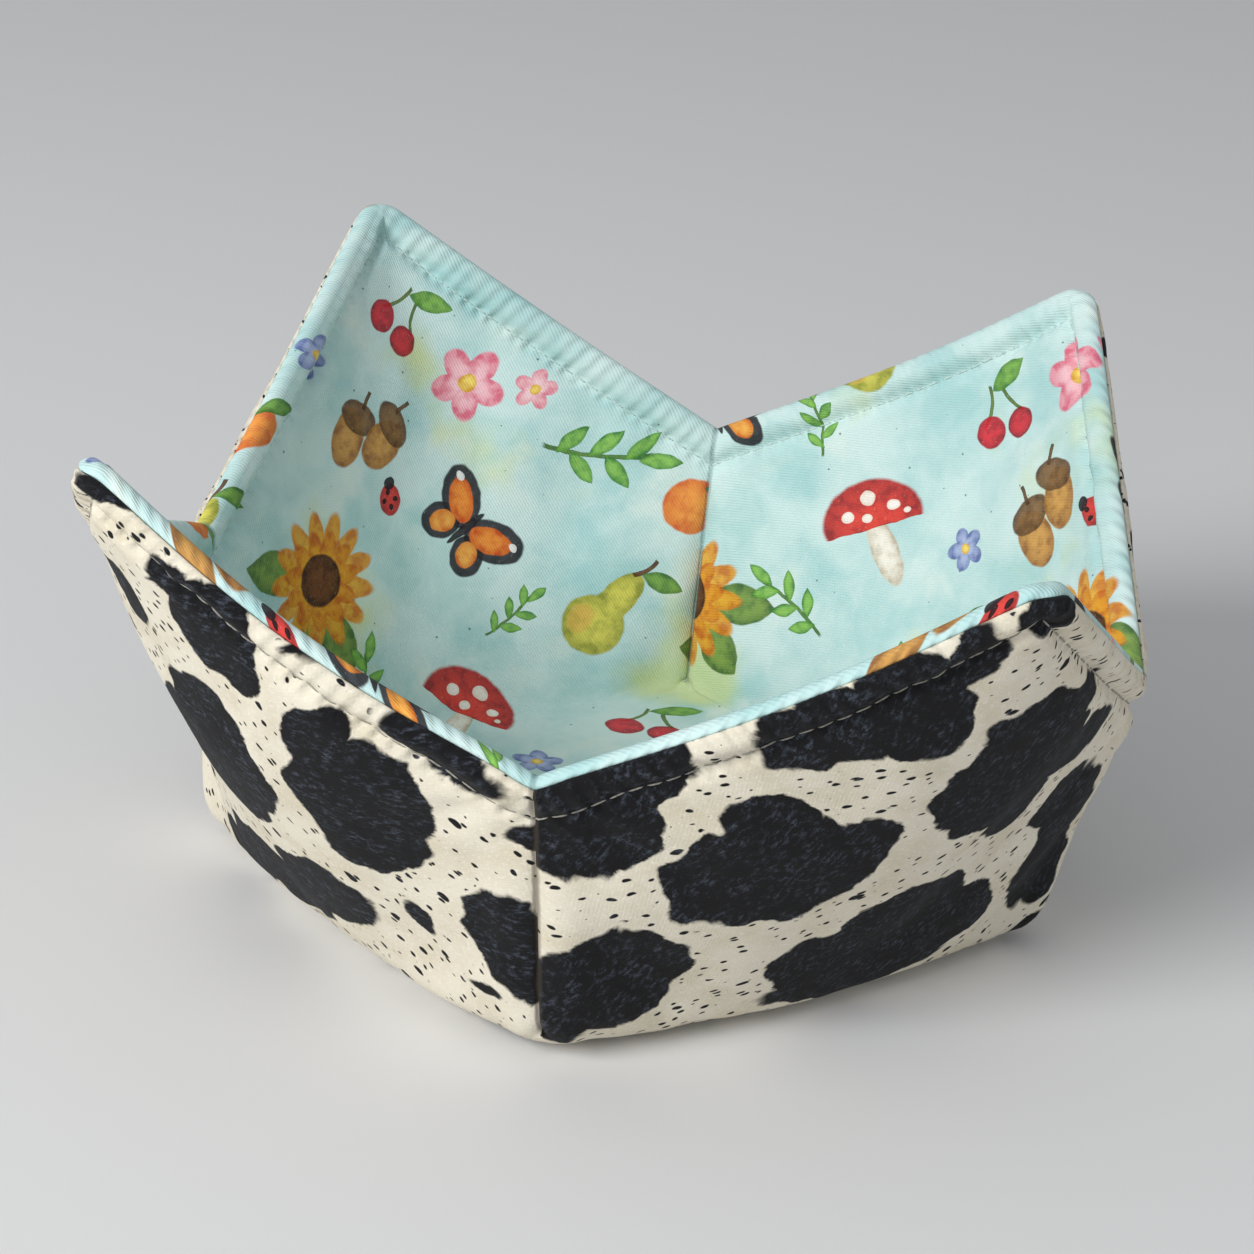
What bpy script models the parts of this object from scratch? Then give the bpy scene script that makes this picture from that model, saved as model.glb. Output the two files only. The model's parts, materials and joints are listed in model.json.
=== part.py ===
"""A microwave bowl cozy, sewn from two padded squares of cotton.

Each square has a dart sewn into the middle of its four sides, which turns the
flat cloth into a square tray with four pointed corners. One tray is turned
inside the other, the two are joined along the rim, and the rim is topstitched.
Metres, +Z up, the underside on Z = 0. The base's edges run along X and Y, so
the four points of the cloth stand over -Y, +X, +Y and -X.
"""

from math import hypot, sqrt

import bmesh
import bpy
from mathutils import Vector

# The cloth, seam to seam, and the darts in the middle of each side.
CLOTH_SIDE = 0.241
DART_DEPTH = 0.0455
DART_HALF_WIDTH = 0.033
TIP_RADIUS = 0.006

# The layers of the wall.
FABRIC_THICKNESS = 0.00045
BATTING_THICKNESS = 0.0016
LAYER_GAP = 0.0003

# The rim and its topstitching.
STITCH_INSET = 0.006
STITCH_DIP = 0.0006
SEAM_ALLOWANCE = 0.0052
THREAD_RADIUS = 0.00025

# How the sewn shape stands.
FOLD_REACH = 0.0065
SEAM_LEAN = 0.183
SEAM_DIP = 0.0008
POINT_SLOPE = 2.07
BIAS_TAKE_UP = 0.932
EDGE_BULGE = 0.0034
BELLY = 0.0024

# How far each handmade corner, seam top and point has settled from the even shape, in millimetres.
CORNER_SETTLE = {
    "front_left": (3.0, 2.5, 2.9),
    "front_right": (1.1, 0.1, 0.0),
    "back_right": (-1.0, 0.2, 0.0),
    "back_left": (-4.3, -0.2, 0.0),
}
SEAM_TOP_SETTLE = {
    "front_left": (0.1, 0.5, 2.0),
    "front_right": (1.6, -3.3, -2.3),
    "back_right": (0.1, 0.6, 0.2),
    "back_left": (2.8, -1.9, 0.5),
}
POINT_SETTLE = {
    "front": (0.0, -0.7, -1.4),
    "right": (-2.5, 1.5, 0.8),
    "back": (2.5, -1.1, 1.5),
    "left": (-2.9, 1.3, -1.2),
}
# How far each half of a panel's rim bows out, towards its first and its second corner, in millimetres,
# and which way it bows: out of the panel, aside to the corner and up.
RIM_BOW = {"front": (2.4, 3.4), "right": (0.0, 3.2), "back": (1.3, -1.0), "left": (6.0, 3.7)}
BOW_OUT, BOW_ASIDE, BOW_UP = 0.82, 0.24, -0.52
BOW_SHARPNESS = 1.5

# The mesh: the columns from a panel's middle to its seam, and the rows of the wall.
COLUMNS = (0.0, 0.07, 0.3, 0.53, 0.76, 0.93, 1.0)
CROWN_ROWS = (0, 0.15, 0.45, 1)
BELOW_STITCH = STITCH_INSET + 0.003
ALLOWANCE_FOOT = SEAM_ALLOWANCE + 0.0008
WALL_ROWS = 5
BASE_RING = 0.5
NORMAL_STEP = 0.0004
SMOOTH_ANGLE = 0.9

# The crown's section: how full the roll is at its shoulder and near its top, outside, inside and as batting.
SHOULDER_FULLNESS = 0.84
TOP_FULLNESS = 0.5
INNER_FULLNESS = 0.62
BATTING_SLOPE = 0.35

# What follows from these.
MM = 0.001
LIFT_START = ((1 + BASE_RING) / 2) ** 2
DIAGONAL = 1 / sqrt(2)
HALF_WALL = LAYER_GAP / 2 + BATTING_THICKNESS + LAYER_GAP + FABRIC_THICKNESS
BASE_REACH = CLOTH_SIDE / 2 - DART_DEPTH
BASE_HALF = BASE_REACH * DIAGONAL
SEAM_LENGTH = hypot(DART_DEPTH, DART_HALF_WIDTH)
SEAM_TOP_ALONG = (CLOTH_SIDE / 2 - DART_HALF_WIDTH) * DIAGONAL
SEAM_TOP_UP = (CLOTH_SIDE / 2 + DART_HALF_WIDTH) * DIAGONAL - BASE_HALF
PANEL_LENGTH = CLOTH_SIDE * DIAGONAL - BASE_HALF
UP = Vector((0, 0, 1))

# Each panel's way out, and the corners at its left and right end as seen from outside.
PANELS = {
    "front": (Vector((0, -1, 0)), "front_left", "front_right"),
    "right": (Vector((1, 0, 0)), "front_right", "back_right"),
    "back": (Vector((0, 1, 0)), "back_right", "back_left"),
    "left": (Vector((-1, 0, 0)), "back_left", "front_left"),
}
CORNERS = {
    "front_left": Vector((-1, -1, 0)),
    "front_right": Vector((1, -1, 0)),
    "back_right": Vector((1, 1, 0)),
    "back_left": Vector((-1, 1, 0)),
}


def base_corner(corner):
    """Where a dart ends, at a corner of the base, without its lift."""
    settle = CORNER_SETTLE[corner]
    return CORNERS[corner] * BASE_HALF + Vector((settle[0], settle[1], 0)) * MM + UP * HALF_WALL


def lifted_corner(corner):
    return base_corner(corner) + UP * CORNER_SETTLE[corner][2] * MM


def seam_top(corner):
    """Where a dart's seam meets the rim."""
    out = CORNERS[corner].normalized()
    rise = sqrt(1 - SEAM_LEAN**2)
    leg = (out * SEAM_LEAN + UP * rise) * SEAM_LENGTH
    return CORNERS[corner] * BASE_HALF + leg + Vector(SEAM_TOP_SETTLE[corner]) * MM + UP * HALF_WALL


def edge_middle(panel):
    """The middle of the base's edge under a panel, which bulges a little."""
    out, left, right = PANELS[panel]
    return (base_corner(left) + base_corner(right)) / 2 + out * EDGE_BULGE


def point(panel):
    """The cloth's corner at the top of a panel."""
    out = PANELS[panel][0]
    rise = (out + UP * POINT_SLOPE).normalized() * PANEL_LENGTH * BIAS_TAKE_UP
    foot = out * (BASE_HALF + EDGE_BULGE) + UP * HALF_WALL
    return foot + rise + Vector(POINT_SETTLE[panel]) * MM


def half_width(up):
    """Half the flat panel's width at a distance up from the base's edge."""
    if up <= SEAM_TOP_UP:
        return BASE_HALF + (SEAM_TOP_ALONG - BASE_HALF) * max(up, 0) / SEAM_TOP_UP
    return PANEL_LENGTH - up


def side_edge(panel, side, up):
    """The panel's edge: up its seam, and from the seam's top along the rim to the point."""
    out, left, right = PANELS[panel]
    corner = right if side > 0 else left
    start, top = lifted_corner(corner), seam_top(corner)
    if up <= SEAM_TOP_UP:
        return start.lerp(top, max(up, 0) / SEAM_TOP_UP)
    along = min((up - SEAM_TOP_UP) / (PANEL_LENGTH - SEAM_TOP_UP), 1)
    aside = UP.cross(out) * side
    bow = (out * BOW_OUT + aside * BOW_ASIDE + UP * BOW_UP) * RIM_BOW[panel][side > 0] * MM
    return top.lerp(point(panel), along) + bow * (4 * along * (1 - along)) ** BOW_SHARPNESS


def middle_line(panel, up):
    """The panel's middle, from the base's edge to the point, with a slight belly."""
    foot, tip = edge_middle(panel), point(panel)
    along = up / PANEL_LENGTH
    across = PANELS[panel][0].cross(UP).normalized()
    proud = (tip - foot).cross(across).normalized()
    if proud.dot(PANELS[panel][0]) < 0:
        proud = -proud
    return foot.lerp(tip, along) + proud * BELLY * 4 * along * (1 - along)


def wall(panel, side, along, up):
    """A place on the wall's mid-surface, from its place on the flat panel."""
    middle = middle_line(panel, up)
    near, far = side_edge(panel, side, up), side_edge(panel, -side, up)
    reach = near - middle
    spread = near - far
    if spread.length < 1e-7:
        return middle
    spread.normalize()
    sideways = spread * reach.dot(spread)
    share = along / max(half_width(up), 1e-6)
    return middle + sideways * share + (reach - sideways) * share**2


def base(x, y):
    """A place on the base's mid-surface, from its place on the flat base."""
    across, deep = (x / BASE_HALF + 1) / 2, (y / BASE_HALF + 1) / 2
    place = Vector((0, 0, 0))
    for corner, way in CORNERS.items():
        weight = (across if way.x > 0 else 1 - across) * (deep if way.y > 0 else 1 - deep)
        lift = max((weight - LIFT_START) / (1 - LIFT_START), 0) ** 2 * CORNER_SETTLE[corner][2] * MM
        place += base_corner(corner) * weight + UP * lift
    for out, _, _ in PANELS.values():
        outward, sideways = out.x * x + out.y * y, out.y * x + out.x * y
        if outward > 0:
            bulge = (1 - (sideways / BASE_HALF) ** 2) * (outward / BASE_HALF) ** 2
            place += out * EDGE_BULGE * bulge
    return place


def round_off(panel, distance):
    """How far the soft fold along a base edge cuts its corner, at a distance from the edge."""
    out = PANELS[panel][0]
    slope = (out + UP * POINT_SLOPE).normalized()
    share = max(1 - abs(distance) / FOLD_REACH, 0) / 2
    return (slope - out) * FOLD_REACH * share**2


def neighbour(panel, side):
    """The panel that shares the seam on that side."""
    corner = PANELS[panel][2 if side > 0 else 1]
    return next(name for name, sides in PANELS.items() if corner in sides and name != panel)


def place(panel, side, along, up):
    """The mid-surface at a place on the flat cloth: along the base's edge, and up from it."""
    out = PANELS[panel][0]
    beside = neighbour(panel, side)
    if up < 0:
        spot = out * (BASE_HALF + up) + UP.cross(out) * side * along
        bend = round_off(panel, up) + round_off(beside, BASE_HALF - along)
        return base(spot.x, spot.y) + bend
    to_seam = max(half_width(up) - along, 0) if up < SEAM_TOP_UP else FOLD_REACH
    share = max(1 - abs(up) / FOLD_REACH, 0) ** 2
    return wall(panel, side, along, up) + round_off(panel, up) + round_off(beside, to_seam) * share


def facing(panel, side, along, up):
    """The outward normal at a place on one panel."""
    step = NORMAL_STEP
    below, above = max(up - step, step - BASE_HALF), min(up + step, PANEL_LENGTH - step)
    if up <= SEAM_TOP_UP:
        above = min(above, SEAM_TOP_UP)
    low = along * (half_width(below) / half_width(up) if up > 0 else 1)
    high = along * (half_width(above) / half_width(up) if up > 0 else 1)
    rise = place(panel, side, high, above) - place(panel, side, low, below)
    inner = max(along - step, 0)
    run = place(panel, side, inner + step, up) - place(panel, side, inner, up)
    return run.cross(rise).normalized() * side


def thickness_way(panel, side, along, up, on_seam):
    """The way in which a layer is offset, mitred where two panels meet in a seam."""
    here = facing(panel, side, along, up)
    if not on_seam:
        return here
    there = facing(neighbour(panel, side), -side, along, up)
    return (here + there) / (1 + here.dot(there))


class Ring(list):
    """The places of a closed ring of cloth, with how far up the cozy it lies."""

    level = 0.0


class Row:
    """A closed ring round the cozy: its places on the mid-surface, and the ways out of the wall."""

    def __init__(self, flat_place, dip=0.0):
        self.places, self.ways, self.seam, self.dip = [], [], [], dip
        self.level = flat_place(0)[1]
        for panel in PANELS:
            for side, columns in ((-1, COLUMNS[:0:-1]), (1, COLUMNS[:-1])):
                for column in columns:
                    along, up = flat_place(column)
                    self.places.append(place(panel, side, along, up))
                    self.ways.append(thickness_way(panel, side, along, up, column == 1))
                    self.seam.append(column == 1 and up > FOLD_REACH / 2)

    def offset(self, distance, dips=True):
        """The ring moved out of the mid-surface; a skin dips at the stitching and the seams."""
        sign = 1 if distance > 0 else -1
        ring = Ring()
        ring.level = self.level
        for spot, way, on_seam in zip(self.places, self.ways, self.seam):
            dip = self.dip + (SEAM_DIP if on_seam and distance > 0 and not self.dip else 0)
            ring.append(spot + way * (distance - sign * dip * dips))
        return ring


def from_rim(distance):
    """The flat places of a ring at a distance from the cloth's edge, with its point rounded."""

    def flat_place(column):
        foot, top = column * BASE_HALF, column * SEAM_TOP_ALONG
        inset = distance
        if column == 0:
            inset += (1 - DIAGONAL) * max(TIP_RADIUS - distance, 0)
        share = inset / ((PANEL_LENGTH - foot) * DIAGONAL)
        return top + (foot - top) * share, (PANEL_LENGTH - top) * (1 - share)

    return flat_place


def on_wall(share):
    """The flat places of a ring part of the way from the stitching down to the fold."""

    def flat_place(column):
        upper_along, upper = from_rim(BELOW_STITCH)(column)
        lower_along, lower = from_base(FOLD_REACH)(column)
        return upper_along + (lower_along - upper_along) * share, upper + (lower - upper) * share

    return flat_place


def from_base(up):
    """The flat places of a ring just above the base's edge."""

    def flat_place(column):
        foot, top = column * BASE_HALF, column * SEAM_TOP_ALONG
        share = up / (PANEL_LENGTH - top)
        return foot + (top - foot) * share, up

    return flat_place


def in_base(size):
    """The flat places of a square ring inside the base."""

    def flat_place(column):
        return column * BASE_HALF * size, BASE_HALF * (size - 1)

    return flat_place


CROWN = [Row(from_rim(HALF_WALL * share)) for share in CROWN_ROWS]
STITCH = Row(from_rim(STITCH_INSET), STITCH_DIP)
BELOW = Row(from_rim(BELOW_STITCH))
ALLOWANCE = Row(from_rim(SEAM_ALLOWANCE))
BATTING_STEP = Row(from_rim(ALLOWANCE_FOOT))
FOLD_SHARE = FOLD_REACH / BASE_HALF
FLOOR = [
    Row(in_base(BASE_RING)),
    Row(in_base(1 - FOLD_SHARE)),
    Row(in_base(1 - FOLD_SHARE / 3)),
    Row(from_base(FOLD_REACH / 3)),
    Row(from_base(FOLD_REACH)),
]
WALL = [Row(on_wall(1 - step / WALL_ROWS)) for step in range(1, WALL_ROWS)]
FACE = FLOOR + WALL + [BELOW, STITCH]


def material(name, colour, roughness, print_colour=None, print_size=0.03, print_share=0.5):
    """A fabric's finish, with a print of soft-edged fields of a second colour if it has one."""
    finish = bpy.data.materials.new(name)
    finish.use_nodes = True
    nodes, links = finish.node_tree.nodes, finish.node_tree.links
    shader = nodes["Principled BSDF"]
    shader.inputs["Base Color"].default_value = (*colour, 1)
    shader.inputs["Roughness"].default_value = roughness
    shader.inputs["Metallic"].default_value = 0
    finish.diffuse_color = (*colour, 1)
    if print_colour:
        place_on = nodes.new("ShaderNodeTexCoord")
        fields = nodes.new("ShaderNodeTexNoise")
        fields.inputs["Scale"].default_value = 1 / print_size
        fields.inputs["Detail"].default_value = 1.5
        edges = nodes.new("ShaderNodeValToRGB")
        edges.color_ramp.elements[0].position = print_share
        edges.color_ramp.elements[0].color = (*print_colour, 1)
        edges.color_ramp.elements[1].position = print_share + 0.02
        edges.color_ramp.elements[1].color = (*colour, 1)
        links.new(place_on.outputs["Object"], fields.inputs["Vector"])
        links.new(fields.outputs["Fac"], edges.inputs["Fac"])
        links.new(edges.outputs["Color"], shader.inputs["Base Color"])
    return finish


def finish_object(name, mesh, finish):
    for polygon in mesh.polygons:
        polygon.use_smooth = True
    mesh.set_sharp_from_angle(angle=SMOOTH_ANGLE)
    mesh.materials.append(finish)
    piece = bpy.data.objects.new(name, mesh)
    bpy.context.scene.collection.objects.link(piece)
    return piece


def split_band(lower, upper, rising):
    """Cut a band's four-sided faces the same way in every layer, so that the layers nest."""
    half = len(COLUMNS) - 1
    for index in range(len(lower)):
        after = (index + 1) % len(lower)
        first_half = index % (2 * half) < half
        start, end = (lower[index], upper[after]) if first_half == rising else (lower[after], upper[index])
        shared = next(face for face in start.link_faces if end in face.verts)
        bmesh.utils.face_split(shared, start, end)


def layer(name, rings, finish):
    """One closed layer: rings of cloth from the middle of one face over the rim to the other's."""
    bm = bmesh.new()
    loop = [bm.verts.new(spot) for spot in rings[0]]
    edges = [bm.edges.new((a, b)) for a, b in zip(loop, loop[1:] + loop[:1])]
    bm.faces.new(loop)
    before, level = loop, rings[0].level
    for ring in rings[1:]:
        grown = bmesh.ops.extrude_edge_only(bm, edges=edges)["geom"]
        fresh = {item for item in grown if isinstance(item, bmesh.types.BMVert)}
        loop = [next(e.other_vert(old) for e in old.link_edges if e.other_vert(old) in fresh) for old in loop]
        for vert, spot in zip(loop, ring):
            vert.co = spot
        edges = [item for item in grown if isinstance(item, bmesh.types.BMEdge)]
        split_band(before, loop, ring.level >= level)
        before, level = loop, ring.level
    bm.faces.new(loop[::-1])
    bmesh.ops.recalc_face_normals(bm, faces=bm.faces)
    if bm.calc_volume(signed=True) < 0:
        bmesh.ops.reverse_faces(bm, faces=bm.faces)
    mesh = bpy.data.meshes.new(name)
    bm.to_mesh(mesh)
    bm.free()
    return finish_object(name, mesh, finish)


def fabric_rings(side):
    """A fabric layer, whose edge rolls over the crown and turns in as a seam allowance."""
    skin, lining_face = HALF_WALL * side, (HALF_WALL - FABRIC_THICKNESS) * side
    seam = LAYER_GAP / 2 * side
    turned = seam + FABRIC_THICKNESS * side
    crown, near_crown, shoulder, foot = CROWN
    rings = [row.offset(skin) for row in FACE]
    rings.append(foot.offset(skin, dips=False))
    rings.append(shoulder.offset(seam + (skin - seam) * SHOULDER_FULLNESS, dips=False))
    rings.append(near_crown.offset(seam + (skin - seam) * TOP_FULLNESS, dips=False))
    rings.append(crown.offset(seam, dips=False))
    rings.append(ALLOWANCE.offset(seam, dips=False))
    rings.append(ALLOWANCE.offset(turned, dips=False))
    rings.append(foot.offset(turned, dips=False))
    rings.append(shoulder.offset(turned, dips=False))
    rings.append(shoulder.offset(seam + (lining_face - seam) * INNER_FULLNESS, dips=False))
    rings.append(foot.offset(lining_face, dips=False))
    rings += [row.offset(lining_face) for row in reversed(FACE)]
    return rings


def batting_rings(side):
    """A layer of batting, thin beside the seam allowance and full below it."""
    back = LAYER_GAP / 2 * side
    skin = back + BATTING_THICKNESS * side
    beside_allowance = back + (FABRIC_THICKNESS + LAYER_GAP) * side
    foot = CROWN[3]
    rings = [row.offset(skin) for row in FACE]
    rings.append(foot.offset(skin - (skin - beside_allowance) * BATTING_SLOPE, dips=False))
    rings.append(foot.offset(beside_allowance, dips=False))
    rings.append(ALLOWANCE.offset(beside_allowance, dips=False))
    rings.append(BATTING_STEP.offset(beside_allowance, dips=False))
    rings += [row.offset(back, dips=False) for row in reversed(FACE[:-1])]
    return rings


def thread(name, side, finish):
    """The topstitching's thread, lying in its dip on one face of the rim."""
    run = STITCH.offset((HALF_WALL + LAYER_GAP + THREAD_RADIUS) * side)
    curve = bpy.data.curves.new(name, "CURVE")
    curve.dimensions = "3D"
    curve.bevel_depth = THREAD_RADIUS
    curve.bevel_resolution = 0
    spline = curve.splines.new("POLY")
    spline.points.add(len(run) - 1)
    for knot, spot in zip(spline.points, run):
        knot.co = (*spot, 1)
    spline.use_cyclic_u = True
    curve.materials.append(finish)
    piece = bpy.data.objects.new(name, curve)
    bpy.context.scene.collection.objects.link(piece)


def build():
    for old in list(bpy.data.objects):
        bpy.data.objects.remove(old, do_unlink=True)
    hide_print = material("cow_print_cotton", (0.76, 0.72, 0.62), 0.95, (0.012, 0.012, 0.014), 0.032, 0.5)
    lining_print = material("aqua_print_cotton", (0.5, 0.76, 0.74), 0.9, (0.62, 0.66, 0.3), 0.04, 0.4)
    outer_wadding = material("outer_cotton_batting", (0.86, 0.83, 0.76), 1.0)
    lining_wadding = material("lining_cotton_batting", (0.84, 0.81, 0.74), 1.0)
    needle = material("needle_thread", (0.68, 0.82, 0.8), 0.7)
    bobbin = material("bobbin_thread", (0.82, 0.85, 0.82), 0.7)
    layer("outer_shell", fabric_rings(1), hide_print)
    layer("outer_batting", batting_rings(1), outer_wadding)
    layer("lining_batting", batting_rings(-1), lining_wadding)
    layer("lining", fabric_rings(-1), lining_print)
    thread("needle_thread", -1, needle)
    thread("bobbin_thread", 1, bobbin)


build()
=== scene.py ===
"""The looks of the microwave bowl cozy: two printed cottons over batting, topstitched along the rim.

Lengths are in millimetres until a mesh is made. Both cloths use one flat pattern: the
square of cloth lies with its middle at the base's middle, and the base's edges run along
X and Y. A place on a panel is given as its distance along the base's edge from the
panel's middle and its distance up from that edge, and UV maps hold the same flat place.
"""

import json
from math import cos, pi, radians, sin, sqrt

import bmesh
import bpy
import numpy as np
from mathutils import Matrix, Vector, noise
from mathutils.kdtree import KDTree

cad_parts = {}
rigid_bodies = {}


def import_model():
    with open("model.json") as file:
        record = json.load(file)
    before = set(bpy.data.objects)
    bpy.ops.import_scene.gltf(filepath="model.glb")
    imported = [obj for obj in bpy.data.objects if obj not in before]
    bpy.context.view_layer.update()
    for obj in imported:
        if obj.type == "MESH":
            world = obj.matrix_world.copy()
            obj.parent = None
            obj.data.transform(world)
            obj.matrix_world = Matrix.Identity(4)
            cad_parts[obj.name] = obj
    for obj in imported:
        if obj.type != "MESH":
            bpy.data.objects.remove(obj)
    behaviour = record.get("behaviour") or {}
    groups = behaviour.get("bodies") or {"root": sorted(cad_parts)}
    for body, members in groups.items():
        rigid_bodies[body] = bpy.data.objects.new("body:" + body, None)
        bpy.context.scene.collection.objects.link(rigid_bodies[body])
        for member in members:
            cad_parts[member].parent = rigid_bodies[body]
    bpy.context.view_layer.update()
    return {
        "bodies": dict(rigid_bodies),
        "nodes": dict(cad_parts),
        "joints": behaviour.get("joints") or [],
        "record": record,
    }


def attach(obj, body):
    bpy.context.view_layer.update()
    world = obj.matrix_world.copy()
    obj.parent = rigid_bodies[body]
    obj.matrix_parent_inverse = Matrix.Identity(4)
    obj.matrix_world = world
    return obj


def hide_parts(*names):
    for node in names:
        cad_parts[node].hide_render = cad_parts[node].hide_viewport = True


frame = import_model()

MM = 0.001
DIAGONAL = 1 / sqrt(2)

# The sewn pattern, as in the part: the cloth from seam to seam, its darts and its layers.
CLOTH_SIDE = 241.0
DART_DEPTH = 45.5
DART_HALF_WIDTH = 33.0
TIP_RADIUS = 6.0
FABRIC = 0.45
HALF_WALL = 2.5
STITCH_INSET = 6.0
SEAM_ALLOWANCE = 5.2
FOLD_REACH = 6.5
SEAM_LEAN = 0.183
POINT_SLOPE = 2.07
BIAS_TAKE_UP = 0.932
EDGE_BULGE = 3.4
BELLY = 2.4
CORNER_SETTLE = {
    "front_left": (3.0, 2.5, 2.9),
    "front_right": (1.1, 0.1, 0.0),
    "back_right": (-1.0, 0.2, 0.0),
    "back_left": (-4.3, -0.2, 0.0),
}
SEAM_TOP_SETTLE = {
    "front_left": (0.1, 0.5, 2.0),
    "front_right": (1.6, -3.3, -2.3),
    "back_right": (0.1, 0.6, 0.2),
    "back_left": (2.8, -1.9, 0.5),
}
POINT_SETTLE = {
    "front": (0.0, -0.7, -1.4),
    "right": (-2.5, 1.5, 0.8),
    "back": (2.5, -1.1, 1.5),
    "left": (-2.9, 1.3, -1.2),
}
RIM_BOW = {"front": (2.4, 3.4), "right": (0.0, 3.2), "back": (1.3, -1.0), "left": (6.0, 3.7)}
BOW_OUT, BOW_ASIDE, BOW_UP = 0.82, 0.24, -0.52
BOW_SHARPNESS = 1.5
# A corner's lift starts at the corner of a square ring on the base, at this share of its size.
BASE_RING = 0.5
LIFT_START = ((1 + BASE_RING) / 2) ** 2

BASE_REACH = CLOTH_SIDE / 2 - DART_DEPTH
BASE_HALF = BASE_REACH * DIAGONAL
SEAM_LENGTH = sqrt(DART_DEPTH**2 + DART_HALF_WIDTH**2)
SEAM_TOP_ALONG = (CLOTH_SIDE / 2 - DART_HALF_WIDTH) * DIAGONAL
SEAM_TOP_UP = (CLOTH_SIDE / 2 + DART_HALF_WIDTH) * DIAGONAL - BASE_HALF
PANEL_LENGTH = CLOTH_SIDE * DIAGONAL - BASE_HALF
RIM_EDGE = CLOTH_SIDE / 2 - DART_HALF_WIDTH

# How the padded cloth swells and where its stitching and seams pull it in.
ROLL_SWELL = 0.5
STITCH_DIP = 1.25
STITCH_DIP_REACH = 1.5
SEAM_DIP = 1.9
SEAM_DIP_REACH = 1.2
SEAM_SWELL = 0.55
SEAM_SWELL_GAP = 4.0
SEAM_SWELL_REACH = 2.4
LINING_SEAM_SHARE = 0.35
MITRE_REACH = 6.0
CROWN_SEAM_DIP = 0.35
CROWN_SEAM_REACH = radians(9)
BATTING_GAP = 0.15
BATTING_EDGE = STITCH_INSET - 0.5
WELD = 2e-6

# The gathers in the roll: their depth, their size along and across the rim, and how they fade to both sides.
GATHER_DEPTH = 0.68
GATHER_SIZE = 3.2
GATHER_LENGTH = 14.0
GATHER_PEAK = 5.0
GATHER_FADE_UP, GATHER_FADE_DOWN = 1.8, 2.6
GATHER_SEED = 80
EDGE_SHIFT, FACE_SHIFT = 7.3, 0.37

# The folds that fan out below a valley of the rim.
VALLEY_DEPTH = 0.4
VALLEY_FOLD_COUNT = 9.0
VALLEY_REACH = 11
VALLEY_SPREAD = 8
VALLEY_FADE = 3
VALLEY_WANDER = 2
VALLEY_WANDER_SIZE = 24.0
VALLEY_SEED = 60

# Soft unevenness of the padding: sizes and depths. The face that rests on the base is calmer.
SOFTNESS = ((34.0, 0.55), (15.0, 0.4), (6.5, 0.16))
CALM_HEIGHT = 2
CALM_REACH = 10
LINING_CALM = 0.35

# The simulation of the wall as one sheet, a little too large for its seams and stitching.
SIM_CELL = 2.6
SIM_SCALE = 10
SIM_FRAMES = 26
SIM_QUALITY = 8
SIM_MASS = 0.3
SIM_GROWTH = 0.02
SIM_STIFFNESS = 20
SIM_BENDING = 3.0
SIM_NUDGE_SIZE = 21.0
SIM_NUDGE = 1.2
SIM_SEED = 40
SIM_FLOOR = 5.0
SIM_CAP = 0.9
SIM_SMOOTHING = 4

# The stitches of the rim. A thread is drawn into the cloth at both ends.
STITCH_PITCH = 3.2
STITCH_LENGTH = 2.5
FIRST_STITCH = STITCH_PITCH * 0.15
LAST_STITCH = STITCH_LENGTH * 0.6
STITCH_KNOTS = 6
THREAD_RADIUS = 0.17
THREAD_SIDES = 6
THREAD_SUNK = THREAD_RADIUS * 0.55
THREAD_END_SHARE = 0.55
THREAD_ARCH = (0.06, 0.94)

# The grid: how far columns lie from a dart's seam and from a panel's middle.
NEAR_SEAM = (0, 0.4, 0.9, 1.5, 2.3, 3.3, 4.5, 5.9)
NEAR_MIDDLE = (0, 0.5, 1.0, 1.6, 2.3, 3.0)
COLUMN_STEP = 1.0
# How far its rows lie from the fold along the base's edge, and from the cloth's edge.
FOLD_ROWS = (1.3, 2.6, 3.9, 5.2, 6.5)
RIM_ROWS = (9.6, 8.6, 7.8, 7.2, 6.7, 6.3, STITCH_INSET, 5.7, 5.3, 4.8, 4.2, 3.6, 3.0, HALF_WALL)
BASE_MARGIN = 8.5
BASE_ROWS = 12
WALL_ROWS = 28
FAR = 99.0

UP = np.array((0.0, 0.0, 1.0))
PANELS = {
    "front": (np.array((0.0, -1.0, 0.0)), "front_left", "front_right"),
    "right": (np.array((1.0, 0.0, 0.0)), "front_right", "back_right"),
    "back": (np.array((0.0, 1.0, 0.0)), "back_right", "back_left"),
    "left": (np.array((-1.0, 0.0, 0.0)), "back_left", "front_left"),
}
CORNERS = {
    "front_left": np.array((-1.0, -1.0, 0.0)),
    "front_right": np.array((1.0, -1.0, 0.0)),
    "back_right": np.array((1.0, 1.0, 0.0)),
    "back_left": np.array((-1.0, 1.0, 0.0)),
}


def unit(vectors):
    """Vectors made one long, along their last axis."""
    return vectors / np.maximum(np.linalg.norm(vectors, axis=-1, keepdims=True), 1e-9)


def base_corner(corner):
    """Where a dart ends, at a corner of the base, without its lift."""
    settle = CORNER_SETTLE[corner]
    return CORNERS[corner] * BASE_HALF + np.array((settle[0], settle[1], HALF_WALL))


def seam_top(corner):
    """Where a dart's seam meets the rim."""
    leg = unit(CORNERS[corner]) * SEAM_LEAN + UP * sqrt(1 - SEAM_LEAN**2)
    start = CORNERS[corner] * BASE_HALF + UP * HALF_WALL
    return start + leg * SEAM_LENGTH + np.array(SEAM_TOP_SETTLE[corner])


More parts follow.
